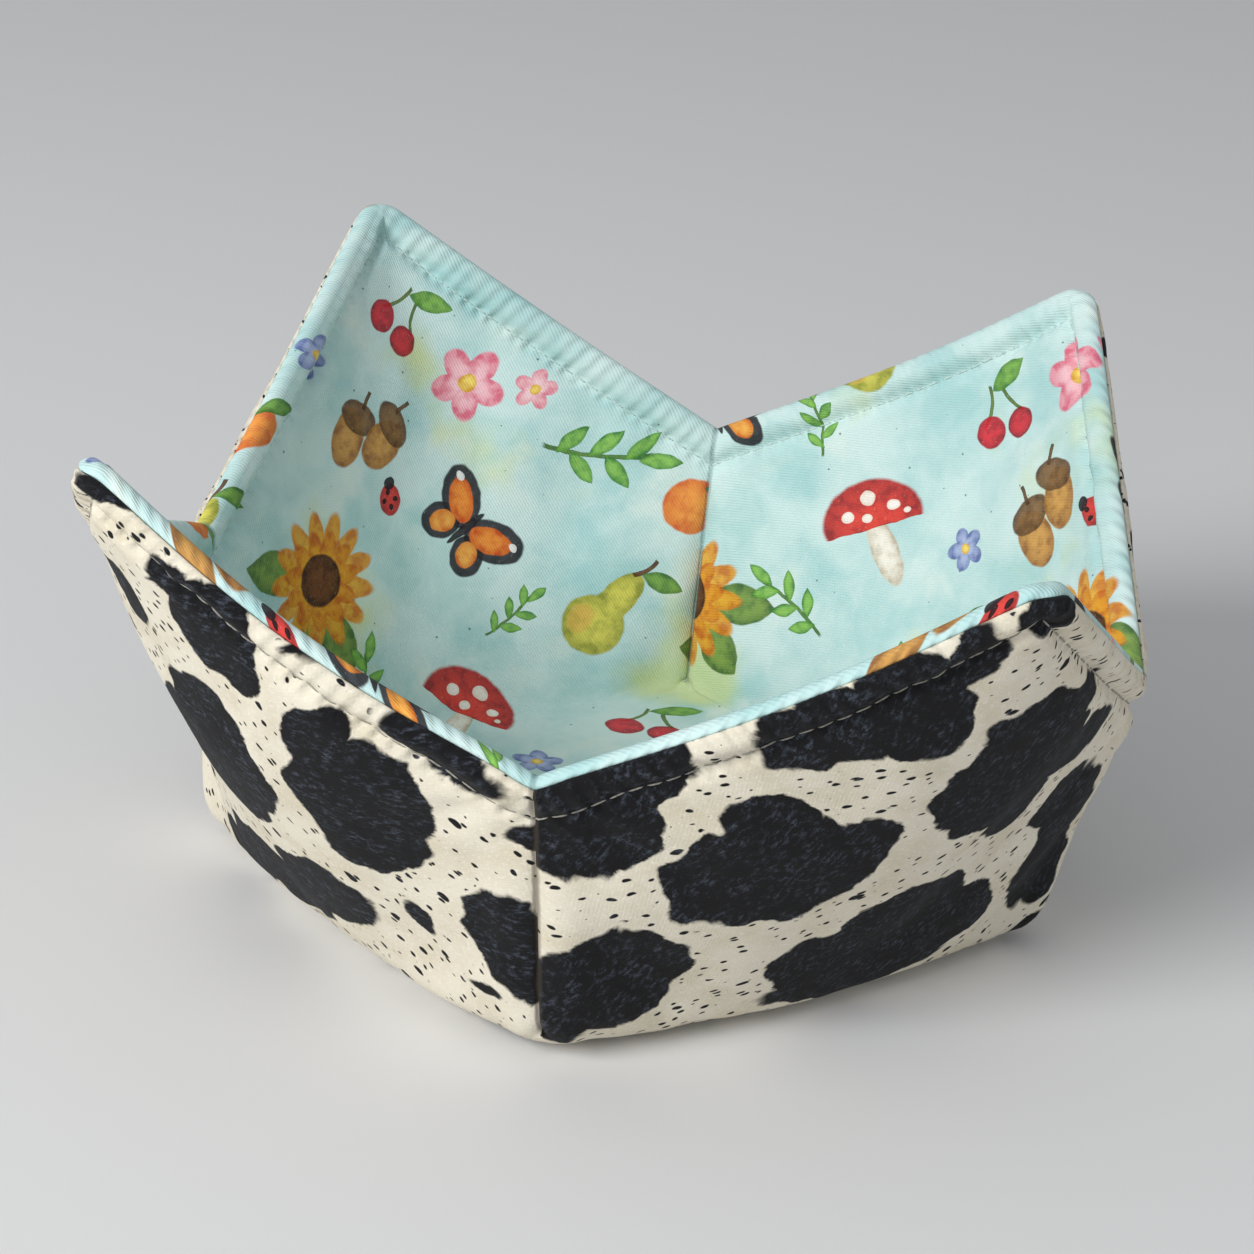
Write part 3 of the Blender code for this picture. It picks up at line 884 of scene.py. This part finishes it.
def material(name, roughness, sheen=0.0):
    """A new finish, its shader and the flat place of the cloth in millimetres."""
    finish = bpy.data.materials.new(name)
    finish.use_nodes = True
    tree = finish.node_tree
    shader = tree.nodes["Principled BSDF"]
    shader.inputs["Roughness"].default_value = roughness
    shader.inputs["Specular IOR Level"].default_value = FIBRE_SHINE
    shader.inputs["Sheen Weight"].default_value = sheen
    shader.inputs["Sheen Roughness"].default_value = SHEEN_ROUGHNESS
    flat = Shade(tree, tree.nodes.new("ShaderNodeUVMap").outputs[0])
    flat.socket.node.uv_map = "cloth"
    return finish, shader, Place(flat.part(0) * 1000.0, flat.part(1) * 1000.0)


def finish_shader(shader, colour, height):
    """Feed a colour, and a height in millimetres as a bump, to a shader."""
    bump = colour.node("ShaderNodeBump", {"Strength": 1.0, "Distance": MM, "Height": height})
    colour.tree.links.new(colour.socket, shader.inputs["Base Color"])
    colour.tree.links.new(bump.socket, shader.inputs["Normal"])


# Where the finishes' puckers fade beside the stitches and on the roll, and where their creases, a bumped
# groove with painted shade, fade beside the seams.
PUCKER_FADE = (2.2, 0.3)
ROLL_FADE = (6.2, 4.4)
ROLL_SHARE = 0.55
CREASE_FADE = (0.95, 0.3)


def rim_puckers(flat):
    """The height of the small gathers that the topstitching makes, from the flat place."""
    first, second = abs((flat.x + flat.y) * DIAGONAL), abs((flat.x - flat.y) * DIAGONAL)
    gap = CLOTH_SIDE / 2 - first.most(second)
    along = CLOTH_SIDE / 2 - first.least(second)
    wave = ((along - STITCH_INSET) * (2 * pi / STITCH_PITCH)).math("COSINE")
    near_stitch = abs(gap - STITCH_INSET).ramp(*PUCKER_FADE)
    on_roll = gap.ramp(*ROLL_FADE) * ROLL_SHARE
    uneven = flat.clouds(7.0).ramp(0.25, 0.75)
    return near_stitch.most(on_roll) * wave * (uneven * 0.8 + 0.35)


def seam_crease(flat):
    """One along the darts' seams, and nought away from them, from the flat place: the seams' bumped grooves
    and their painted shade.
    """
    first, second = abs(flat.x), abs(flat.y)
    way_along, way_out = (SEAM_TOP_ALONG - BASE_HALF) / SEAM_LENGTH, SEAM_TOP_UP / SEAM_LENGTH
    beside = (first.most(second) - BASE_HALF) * way_along - (first.least(second) - BASE_HALF) * way_out
    return (beside + flat.clouds(4.0, 1, seed=9) * 0.5).ramp(*CREASE_FADE)


def weave(flat):
    """The height of a plain weave whose threads run along the cloth's edges."""
    turned = flat.local(0, 0, 1, 1, 45)
    return (turned.x * (pi / WEAVE_PITCH)).math("SINE") * (turned.y * (pi / WEAVE_PITCH)).math("SINE")


# The hide print's blotches on the flat outer cloth: middle, half width, half height and, where it is
# turned, its turn.
BLOTCHES = (
    (-56, -107, 12, 16), (-49, -119, 7, 9), (-25, -101, 15, 14), (-35, -97, 7, 10), (-14, -107, 6.5, 9.5),
    (-29, -113, 7, 6.5), (-25, -135, 12, 8, -35), (-14, -142, 9, 12, -20), (-8, -154, 4.5, 8),
    (10, -123, 15, 16), (29, -118, 12, 7.5, 20), (20, -107, 7, 8), (12, -135, 13, 8), (6, -78, 15, 16),
    (-7, -71, 12, 9, 30), (20, -73, 11, 10), (4, -63, 20, 6), (-43, -71, 10, 13), (-51, -65, 7, 12),
    (-36, -74, 5, 7), (1, -162.5, 4.8, 4.8), (43, -82, 8.5, 19), (37, -97, 7, 7), (47, -71, 5, 9),
    (49, -55, 4, 3), (-139, -18, 11, 8.5), (-149, -12.5, 4.5, 4.5), (-131, -20, 5, 5), (-144, -21, 6, 5),
    (-105, -35, 15, 12), (-119, -32, 8, 6.5), (-95, -34, 7, 10), (-110, -6, 16, 11, -8), (-97, -3, 7, 8),
    (-105, 5, 13, 8), (-76, -13, 8.5, 13), (-69, 8, 10, 17), (-62, 26, 7, 12), (-77, -52, 10.5, 7.5),
    (-68, -55, 6, 5), (-116, -51, 12, 3.8, -35), (-76.5, -35.5, 4.4, 2.6, -35),
    (-164.5, -3.5, 5.5, 1.8, -58), (-139, 6, 8, 5), (-98, -60, 3.2, 4), (-136.5, -33, 2.6, 1.2, -45),
    (-64, -45, 1.8, 3), (-85, 38, 12, 11, 20), (-110, 42, 12, 9, -30), (-121, 24, 9, 8), (-133, 30, 5, 7),
    (70, -30, 12, 14, 20), (92, 2, 14, 12), (76, 33, 11, 14), (110, -32, 13, 9, -20),
    (117, 27, 12, 10, 30), (136, -4, 10, 12), (97, 53, 8, 9), (152, 13, 5, 4), (158, -8, 3.5, 4),
    (92, -56, 8, 7), (-30, 71, 13, 12), (6, 82, 11, 14, 20), (38, 73, 12, 11), (-38, 103, 12, 11),
    (-6, 113, 14, 10, -20), (29, 106, 11, 13), (1, 141, 11, 9), (-23, 136, 8, 7), (22, 134, 7, 9),
    (1, 161, 4, 4), (-20, -20, 14, 11, 20), (20, -26, 12, 11), (-25, 17, 12, 13), (15, 13, 14, 11, -20),
    (39, 37, 9, 8), (-43, -38, 6, 8), (0, 42, 11, 7), (42, -4, 6, 9), (-46, 2, 5, 9), (80, -39, 8, 9),
    (63, -19, 8, 9), (103, 9, 8, 7), (83, -6, 8, 8), (69, 43, 9, 7), (84, 23, 7, 8), (121, -38, 8, 6),
    (107, 35, 8, 7), (127, 21, 7, 6), (130, 5, 8, 7), (142, -12, 6, 7), (58, 8, 5, 9), (-41, 63, 9, 8),
    (-20, 79, 8, 7), (13, 94, 8, 7), (-1, 72, 8, 8), (48, 65, 7, 9), (30, 83, 8, 6), (-47, 93, 7, 8),
    (-29, 112, 8, 6), (5, 105, 8, 7), (-17, 121, 8, 7), (37, 96, 7, 8), (21, 117, 7, 6), (-9, 147, 6, 6),
    (10, 133, 7, 6), (-31, -29, 8, 7), (-9, -12, 8, 7), (29, -34, 8, 6), (13, -18, 7, 7), (-35, 9, 7, 8),
    (-16, 27, 8, 7), (26, 5, 8, 7), (4, 21, 7, 8), (-46, -13, 5, 7), (-22, 47, 8, 6), (1, -46, 10, 6),
    (-2, -3, 7, 6), (38, 17, 7, 7), (-41, 35, 7, 8), (43, -44, 6, 5),
)

WEAVE_PITCH = 0.42
CREAM = rgb(228, 221, 203)
CREAM_SHADE = rgb(214, 205, 182)
CREAM_NAP = rgb(244, 240, 228)
BLACK = rgb(19, 19, 21)
BLACK_FLECK = rgb(62, 68, 79)
# A painted glint on the black print's fibres.
BLACK_PAINTED_GLINT = rgb(98, 101, 106)
# Painted shade for the dark grooves along the darts' seams.
CREASE_PAINTED_SHADE = rgb(70, 62, 52)


def hide_finish():
    """The outer cotton: black blotches and specks on cream, with a brushed, slightly fuzzy face."""
    finish, shader, flat = material("hide_print", 0.95, sheen=0.03)
    rough_edge = flat.wobbled(9.0, 3.6, 1.5).wobbled(3.6, 1.3, 2.0).wobbled(0.6, 0.3, 1.0)
    nearest = None
    for x, y, wide, tall, *turn in BLOTCHES:
        half = min(wide, tall) / 2
        edge = rough_edge.local(x, y, wide, tall, *turn).square().math("MULTIPLY_ADD", half, -half)
        nearest = edge if nearest is None else nearest.least(edge)
    blotch = nearest.ramp(0.35, -0.35)
    brushed = flat.wobbled(3.0, 0.6).local(0, 0, 1.25, 0.62, -32)
    specks = brushed.dots(2.9, 0.32, 0.36, 0.04)
    specks = specks.most(brushed.dots(9.0, 0.45, 0.24, 0.014, seed=2)) * nearest.ramp(0.6, 1.1)
    cream = over(CREAM, CREAM_SHADE, flat.clouds(9.0, 3).ramp(0.35, 0.75))
    cream = over(cream, CREAM_NAP, flat.clouds(0.7, 2).ramp(0.52, 0.75) * 0.5)
    grain = flat.local(0, 0, 0.8, 1.7, 20).clouds(1.1, 3, rough=0.75)
    fleck = grain.ramp(0.47, 0.68) * flat.clouds(5.0, seed=5).ramp(0.35, 0.62)
    black = over(BLACK, BLACK_FLECK, fleck)
    # Painted glint: lighter grey where the black's grain rises.
    black = over(black, BLACK_PAINTED_GLINT, grain.ramp(0.62, 0.74) * 0.3)
    colour = over(cream, black, blotch.most(specks))
    fuzz = flat.clouds(0.45, 3, rough=0.7) * 0.09 + flat.clouds(2.2, 2) * 0.12
    crease_and_shade = seam_crease(flat)
    # Painted shade along the darts' seams, where the grooves fall dark; the same mask also sinks the grooves
    # as a bump.
    colour = over(colour, CREASE_PAINTED_SHADE, crease_and_shade * 0.6)
    height = fuzz + weave(flat) * 0.012 + rim_puckers(flat) * 0.4 - crease_and_shade * 0.3
    finish_shader(shader, colour, height)
    return finish


# The lining's print: one tile repeats over the cloth, each column of tiles half a tile lower than the last.
TILE = 97.0
TILE_START = (31.0, 12.0)
TWILL_PITCH = 0.55

AQUA_PALE = rgb(212, 235, 232)
AQUA_DEEP = rgb(170, 213, 212)
AQUA_WHITE = rgb(226, 240, 232)
GREEN_WASH = rgb(214, 222, 128)
SPATTER = rgb(70, 92, 90)
TWILL_NAP = rgb(244, 250, 248)
# Painted shade for the lining's seam grooves.
AQUA_CREASE_PAINTED_SHADE = rgb(96, 134, 134)


def tile_place(flat):
    """The place inside the print's tile, with up along the cloth's edge."""
    turned = flat.local(-TILE_START[0], -TILE_START[1], 1, 1, -45)
    column = (turned.x / TILE).math("FLOOR")
    return Place(turned.x - column * TILE, (turned.y + column * (TILE / 2)).math("FLOORED_MODULO", TILE))


class Picture:
    """A watercolour picture: each shape is laid over what is there already."""

    def __init__(self, ground, place):
        self.colour, self.place = ground, place
        self.settled = place.clouds(2.6, 3).ramp(0.42, 0.68) * 0.55

    def lay(self, edge, light, dark, solid=0.96):
        """Cover where edge is under one, from light in the middle to dark at the rim, like settled paint."""
        pooled = edge.ramp(0.35, 1.0).math("MULTIPLY_ADD", 0.6, self.settled).least(1.0)
        paint = over(rgb(*light), rgb(*dark), pooled)
        self.colour = over(self.colour, paint, edge.ramp(1.04, 0.94) * solid)

    def oval(self, x, y, wide, tall, turn=0):
        """An ellipse."""
        return self.place.local(x, y, wide, tall, turn).length()

    def leaf(self, x, y, long, wide, turn):
        """A pointed leaf."""
        seen = self.place.local(x, y, long, wide, turn)
        return seen.x.math("MULTIPLY_ADD", seen.x, abs(seen.y))

    def bloom(self, x, y, reach, petals, depth, turn=0):
        """A ring of petals round a middle."""
        seen = self.place.local(x, y, reach, reach, turn)
        angle = seen.y.math("ARCTAN2", seen.x)
        lobes = abs((angle * (petals / 2)).math("COSINE"))
        return seen.length() / (lobes * depth + (1 - depth))

    def stroke(self, x, y, long, thick, turn, bend=0.0):
        """A stem or a pen line, which bends by a share of its length."""
        seen = self.place.local(x, y, long, long, turn)
        curve = seen.y - seen.x * seen.x * bend
        return (abs(curve) * (long / thick)).most(abs(seen.x))


def sunflower(picture, x, y):
    """Leaves, two rings of petals and a dark middle."""
    for turn, long in ((210, 9), (330, 8.5), (285, 7)):
        away = radians(turn)
        leaf = picture.leaf(x + 14 * cos(away), y + 14 * sin(away), long, 4.4, turn)
        picture.lay(leaf, (126, 158, 66), (62, 104, 40))
    picture.lay(picture.bloom(x, y, 14.5, 13, 0.34), (246, 196, 62), (206, 120, 28))
    picture.lay(picture.bloom(x, y, 10.5, 11, 0.3, 14), (240, 170, 40), (196, 96, 24), 0.8)
    picture.lay(picture.oval(x, y, 5.6, 5.4), (112, 66, 38), (46, 28, 22))


def toadstool(picture, x, y):
    """A pale stalk under a red cap with white dots."""
    picture.lay(picture.oval(x + 0.5, y - 7, 3.1, 8, 4), (250, 244, 230), (196, 184, 160))
    cap = picture.oval(x, y, 11.5, 8.4, -4)
    below = ((picture.place.local(x, y, 1, 1, -4).y + 1.8) * -2.0 + 1.0).most(0.0)
    picture.lay(cap.most(below), (226, 58, 44), (150, 18, 24))
    dots = ((-5.2, 2.2, 1.5), (0.4, 4.6, 1.9), (5.4, 1.6, 1.5), (-1.2, 0.6, 1.2), (7.9, -0.4, 0.8))
    for aside, up, wide in dots:
        picture.lay(picture.oval(x + aside, y + up, wide, wide * 0.8), (255, 252, 244), (236, 220, 204))


def butterfly(picture, x, y, turn):
    """Dark wings with orange fields, the same on both sides of the body."""
    seen = picture.place.local(x, y, 1, 1, turn)
    whole = picture.place
    picture.place = Place(abs(seen.x), seen.y)
    picture.lay(picture.oval(4.9, -3.6, 3.9, 4.6, 35), (60, 56, 62), (26, 26, 32))
    picture.lay(picture.oval(6.0, 3.2, 7.0, 4.6, 32), (58, 54, 60), (24, 24, 30))
    picture.lay(picture.oval(5.4, 2.8, 5.0, 2.9, 32), (244, 150, 60), (206, 84, 28))
    picture.lay(picture.oval(4.6, -3.4, 2.4, 3.0, 35), (248, 182, 84), (214, 110, 40))
    picture.lay(picture.oval(9.6, 5.8, 1.1, 0.8), (252, 250, 244), (220, 220, 216))
    picture.lay(picture.oval(0, 0, 0.9, 5.4), (50, 46, 50), (20, 20, 24))
    picture.place = whole


def pear(picture, x, y):
    """A blushed fruit with its stem and a leaf."""
    lower, upper = picture.oval(x, y - 3, 6.8, 6.8), picture.oval(x + 0.9, y + 5, 3.6, 6.4, -8)
    both = lower.node("ShaderNodeMath", {0: lower, 1: upper, 2: 0.35}, operation="SMOOTH_MIN") + 0.04
    picture.lay(both, (222, 214, 86), (146, 150, 40))
    picture.lay(picture.oval(x - 2.8, y - 3.4, 2.6, 3.6), (236, 150, 84), (226, 190, 84), 0.45)
    picture.lay(picture.stroke(x + 2.2, y + 12.4, 2.8, 0.5, 66, 0.3), (110, 76, 44), (74, 48, 28))
    picture.lay(picture.leaf(x + 6.4, y + 12.2, 4.6, 2.0, 12), (122, 170, 66), (58, 112, 42))


def acorn(picture, x, y, turn):
    """A nut, its cup and its stem."""
    picture.lay(picture.oval(x, y - 2.6, 4.6, 6.4, turn), (214, 158, 76), (146, 92, 34))
    picture.lay(picture.oval(x, y + 2.6, 5.5, 3.4, turn), (140, 104, 62), (84, 58, 34))
    picture.lay(picture.stroke(x, y + 7.0, 2.2, 0.5, turn + 84), (110, 80, 48), (70, 48, 30))


def blossom(picture, x, y, size, light, dark, turn=0):
    """Five petals round a yellow middle."""
    picture.lay(picture.bloom(x, y, 8.2 * size, 5, 0.42, turn), light, dark)
    picture.lay(picture.oval(x, y, 2.0 * size, 2.0 * size), (250, 222, 110), (214, 160, 50))


def sprig(picture, x, y, turn, size=1.0):
    """A stem with leaves on both sides and one at its end."""
    picture.lay(picture.stroke(x, y, 11 * size, 0.5 * size, turn, 0.1), (96, 138, 60), (60, 100, 44))
    ahead = radians(turn)
    for along, side in ((-7, 1), (-4, -1), (0, 1), (3, -1), (7, 1), (10.5, 0)):
        reach_x, reach_y = along * cos(ahead), along * sin(ahead)
        lean = radians(turn + side * 58)
        out = 3.4 if side else 2.2
        spot = (x + (reach_x + out * cos(lean)) * size, y + (reach_y + out * sin(lean)) * size)
        leaf = picture.leaf(*spot, 4.2 * size, 1.7 * size, turn + side * 48)
        picture.lay(leaf, (138, 194, 84), (58, 128, 52))


def berries(picture, x, y):
    """Two red berries on their stems, with a leaf."""
    picture.lay(picture.stroke(x - 1.6, y + 3.6, 4.4, 0.4, 62, 0.25), (106, 130, 60), (70, 96, 44))
    picture.lay(picture.stroke(x + 3.0, y + 3.6, 4.4, 0.4, 112, -0.25), (106, 130, 60), (70, 96, 44))
    picture.lay(picture.oval(x - 3.4, y - 1.4, 3.6, 3.5), (222, 44, 60), (140, 14, 34))
    picture.lay(picture.oval(x + 4.2, y - 2.4, 3.4, 3.3), (214, 38, 54), (132, 14, 34))
    picture.lay(picture.leaf(x + 4.6, y + 8.4, 5.2, 2.2, 20), (128, 180, 74), (62, 122, 48))


def ladybird(picture, x, y, turn):
    """A red back with four dots, and a dark head."""
    picture.lay(picture.oval(x, y, 3.4, 3.0, turn), (218, 50, 40), (160, 24, 26))
    for aside, up in ((-1.3, 1.0), (1.2, 1.1), (-1.0, -1.2), (1.4, -1.0)):
        picture.lay(picture.oval(x + aside, y + up, 0.62, 0.62), (34, 30, 34), (20, 18, 22))
    ahead = radians(turn)
    head = picture.oval(x + 3.4 * cos(ahead), y + 3.4 * sin(ahead), 1.4, 1.6, turn)
    picture.lay(head, (40, 38, 42), (22, 20, 24))


def tangerine(picture, x, y):
    """A round fruit with a leaf."""
    picture.lay(picture.oval(x, y, 6.0, 5.6), (246, 156, 56), (216, 96, 26))
    picture.lay(picture.leaf(x + 3.6, y + 6.0, 4.2, 1.8, 24), (120, 172, 70), (58, 116, 46))


def aqua_ground(flat):
    """The painted ground: aqua washes, yellow-green ones, and fine dark spatter."""
    washes = flat.wobbled(9.0, 4.0).clouds(26.0, 4, rough=0.6)
    aqua = over(AQUA_PALE, AQUA_DEEP, washes.ramp(0.36, 0.7))
    aqua = over(aqua, AQUA_WHITE, flat.clouds(15.0, 4, seed=3).ramp(0.55, 0.75) * 0.8)
    aqua = over(aqua, GREEN_WASH, flat.clouds(38.0, 3, rough=0.55, seed=7).ramp(0.56, 0.72) * 0.62)
    return over(aqua, SPATTER, flat.dots(7.5, 0.62, 0.1, 0.012) * 0.75)


def lining_finish():
    """The lining cotton: a loose watercolour print of garden things on aqua, on a fine twill."""
    finish, shader, flat = material("garden_print", 0.86, sheen=0.05)
    picture = Picture(aqua_ground(flat), tile_place(flat.wobbled(3.0, 0.35)))
    sunflower(picture, 24, 27)
    toadstool(picture, 71, 26)
    butterfly(picture, 49, 58, -18)
    pear(picture, 83, 60)
    acorn(picture, 12, 57, 14)
    acorn(picture, 21, 62, -20)
    blossom(picture, 31, 83, 1.0, (250, 196, 204), (222, 104, 130), 12)
    blossom(picture, 43, 90, 0.55, (250, 208, 212), (226, 124, 144), 40)
    sprig(picture, 62, 86, 28)
    sprig(picture, 48, 15, 118, 0.8)
    berries(picture, 9, 83)
    ladybird(picture, 30, 52, 130)
    tangerine(picture, 84, 88)
    blossom(picture, 90, 12, 0.6, (176, 190, 226), (92, 108, 166), 25)
    sprig(picture, 68, 48, 75, 0.6)
    toned = over(picture.colour, TWILL_NAP, flat.clouds(0.6, 2).ramp(0.6, 0.8) * 0.18)
    crease_and_shade = seam_crease(flat)
    # Painted shade along the darts' seams, as on the outer cotton.
    toned = over(toned, AQUA_CREASE_PAINTED_SHADE, crease_and_shade * 0.45)
    height = twill(flat) * 0.03 + flat.clouds(2.0, 2) * 0.06 + rim_puckers(flat) * 0.24 - crease_and_shade * 0.25
    finish_shader(shader, toned, height)
    return finish


def twill(flat):
    """The height of fine slanting ribs."""
    return (flat.local(0, 0, 1, 1, 20).x * (2 * pi / TWILL_PITCH)).math("SINE")


def batting_finish(name, tone):
    """Needled cotton wadding, seen only where the cozy is taken apart."""
    finish, shader, flat = material(name, 1.0)
    colour = over(rgb(*tone), rgb(250, 246, 236), flat.clouds(1.4, 4, rough=0.7).ramp(0.35, 0.7))
    finish_shader(shader, colour, flat.clouds(0.8, 4, rough=0.7) * 0.35)
    return finish


def thread_finish(name, tone):
    """Twisted sewing cotton."""
    finish = bpy.data.materials.new(name)
    finish.use_nodes = True
    tree = finish.node_tree
    shader = tree.nodes["Principled BSDF"]
    shader.inputs["Roughness"].default_value = 0.6
    spot = Shade(tree, tree.nodes.new("ShaderNodeTexCoord").outputs["Object"])
    tint = spot.node("ShaderNodeTexNoise", {"Vector": spot, "Scale": 2000.0, "Detail": 2.0})
    colour = over(rgb(*tone), rgb(*[channel * 0.82 for channel in tone]), tint.ramp(0.4, 0.7))
    tree.links.new(colour.socket, shader.inputs["Base Color"])
    return finish


# The crown: how far each cloth rolls over, and how its allowance tucks in, as distances from the rim
# with their offsets from the mid-surface.
OUTER_TILTS = [radians(tilt) for tilt in (12, 24, 34, 42, 48)]
LINING_TILTS = [radians(tilt) for tilt in (15, 30, 45, 60, 75, 90, 103, 114, 122, 128)]
OUTER_TUCKS = ((1.3, 1.3), (SEAM_ALLOWANCE, 0.4), (SEAM_ALLOWANCE, 0.8), (2.5, 1.5), (1.5, 1.75))
LINING_TUCKS = ((1.35, 0.95), (SEAM_ALLOWANCE, 0.1), (SEAM_ALLOWANCE, -0.4), (2.5, -1.5), (1.2, -1.2))


def add_pieces():
    """All six pieces, each over the CAD node that it replaces."""
    cloth.sway = buckled()
    outer = fabric("outer_cloth", 1, OUTER_TILTS, OUTER_TUCKS)
    lining = fabric("lining_cloth", -1, LINING_TILTS, LINING_TUCKS)
    outer_pad = batting("outer_padding", 1)
    lining_pad = batting("lining_padding", -1)
    needle = stitches("needle_stitches", -1)
    bobbin = stitches("bobbin_stitches", 1)
    outer_wadding = batting_finish("outer_wadding", (238, 232, 216))
    lining_wadding = batting_finish("lining_wadding", (234, 228, 212))
    finishes = (
        (outer, "outer_shell", "outer_fabric", hide_finish()),
        (lining, "lining", "lining_fabric", lining_finish()),
        (outer_pad, "outer_batting", "outer_batting", outer_wadding),
        (lining_pad, "lining_batting", "lining_batting", lining_wadding),
        (needle, "needle_thread", "needle_thread", thread_finish("needle_cotton", (206, 226, 222))),
        (bobbin, "bobbin_thread", "bobbin_thread", thread_finish("bobbin_cotton", (158, 155, 143))),
    )
    for piece, node, slot, finish in finishes:
        piece.data.materials.append(finish)
        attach(piece, "root")
        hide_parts(node)


add_pieces()

# The camera, fitted to the photograph.
CAMERA_AZIMUTH = radians(-35.49)
CAMERA_ELEVATION = radians(23.59)
CAMERA_ROLL = radians(3.82)
CAMERA_DISTANCE = 0.5379
CAMERA_TARGET = Vector((-0.00645, -0.00587, 0.05325))
CAMERA_LENS = 87.45
CAMERA_SENSOR = 36
CAMERA_CLIP = 0.01

# The studio: a pale floor just under the base, two lamps and an even sky.
FLOOR_GAP = 0.0002
FLOOR_HALF = 3
FLOOR_TONE = rgb(228, 228, 228)
LAMP_TARGET = Vector((0, 0, 0.05))
WINDOW_PLACE = Vector((-1.3, -0.3, 0.85))
WINDOW_SIZE, WINDOW_POWER = 0.7, 19
FILL_PLACE = Vector((0.4, -1.3, 0.7))
FILL_SIZE, FILL_POWER = 0.9, 1.2
SKY_COLOUR = (0.9, 0.92, 0.95, 1)
SKY_STRENGTH = 0.42


def add_camera():
    """The photograph's view."""
    data = bpy.data.cameras.new("camera")
    data.lens = CAMERA_LENS
    data.sensor_width = CAMERA_SENSOR
    data.clip_start = CAMERA_CLIP
    eye = bpy.data.objects.new("camera", data)
    bpy.context.scene.collection.objects.link(eye)
    level = cos(CAMERA_ELEVATION)
    back = Vector((sin(CAMERA_AZIMUTH) * level, -cos(CAMERA_AZIMUTH) * level, sin(CAMERA_ELEVATION)))
    right = Vector((0, 0, 1)).cross(back).normalized()
    up = back.cross(right)
    rolled_right = right * cos(CAMERA_ROLL) + up * sin(CAMERA_ROLL)
    rolled_up = up * cos(CAMERA_ROLL) - right * sin(CAMERA_ROLL)
    turn = Matrix((rolled_right, rolled_up, back)).transposed().to_4x4()
    eye.matrix_world = Matrix.Translation(CAMERA_TARGET + back * CAMERA_DISTANCE) @ turn
    bpy.context.scene.camera = eye


def add_lamp(name, place, size, power):
    """A round soft lamp that faces the bowl."""
    data = bpy.data.lights.new(name, "AREA")
    data.shape = "DISK"
    data.size = size
    data.energy = power
    lamp = bpy.data.objects.new(name, data)
    bpy.context.scene.collection.objects.link(lamp)
    lamp.location = place
    lamp.rotation_euler = (LAMP_TARGET - place).to_track_quat("-Z", "Y").to_euler()


def floor_finish():
    """A plain pale floor."""
    finish = bpy.data.materials.new("floor")
    finish.use_nodes = True
    shader = finish.node_tree.nodes["Principled BSDF"]
    shader.inputs["Base Color"].default_value = FLOOR_TONE
    shader.inputs["Roughness"].default_value = 0.9
    return finish


def add_stage():
    """The floor and the sky."""
    bm = bmesh.new()
    level = Matrix.Translation((0, 0, -FLOOR_GAP))
    bmesh.ops.create_grid(bm, x_segments=1, y_segments=1, size=FLOOR_HALF, matrix=level)
    mesh = bpy.data.meshes.new("floor")
    bm.to_mesh(mesh)
    bm.free()
    floor = bpy.data.objects.new("floor", mesh)
    bpy.context.scene.collection.objects.link(floor)
    mesh.materials.append(floor_finish())
    world = bpy.data.worlds.new("studio")
    world.use_nodes = True
    sky = world.node_tree.nodes["Background"]
    sky.inputs["Color"].default_value = SKY_COLOUR
    sky.inputs["Strength"].default_value = SKY_STRENGTH
    bpy.context.scene.world = world


add_camera()
add_stage()
add_lamp("window", WINDOW_PLACE, WINDOW_SIZE, WINDOW_POWER)
add_lamp("fill", FILL_PLACE, FILL_SIZE, FILL_POWER)
bpy.context.scene.view_settings.view_transform = "Standard"
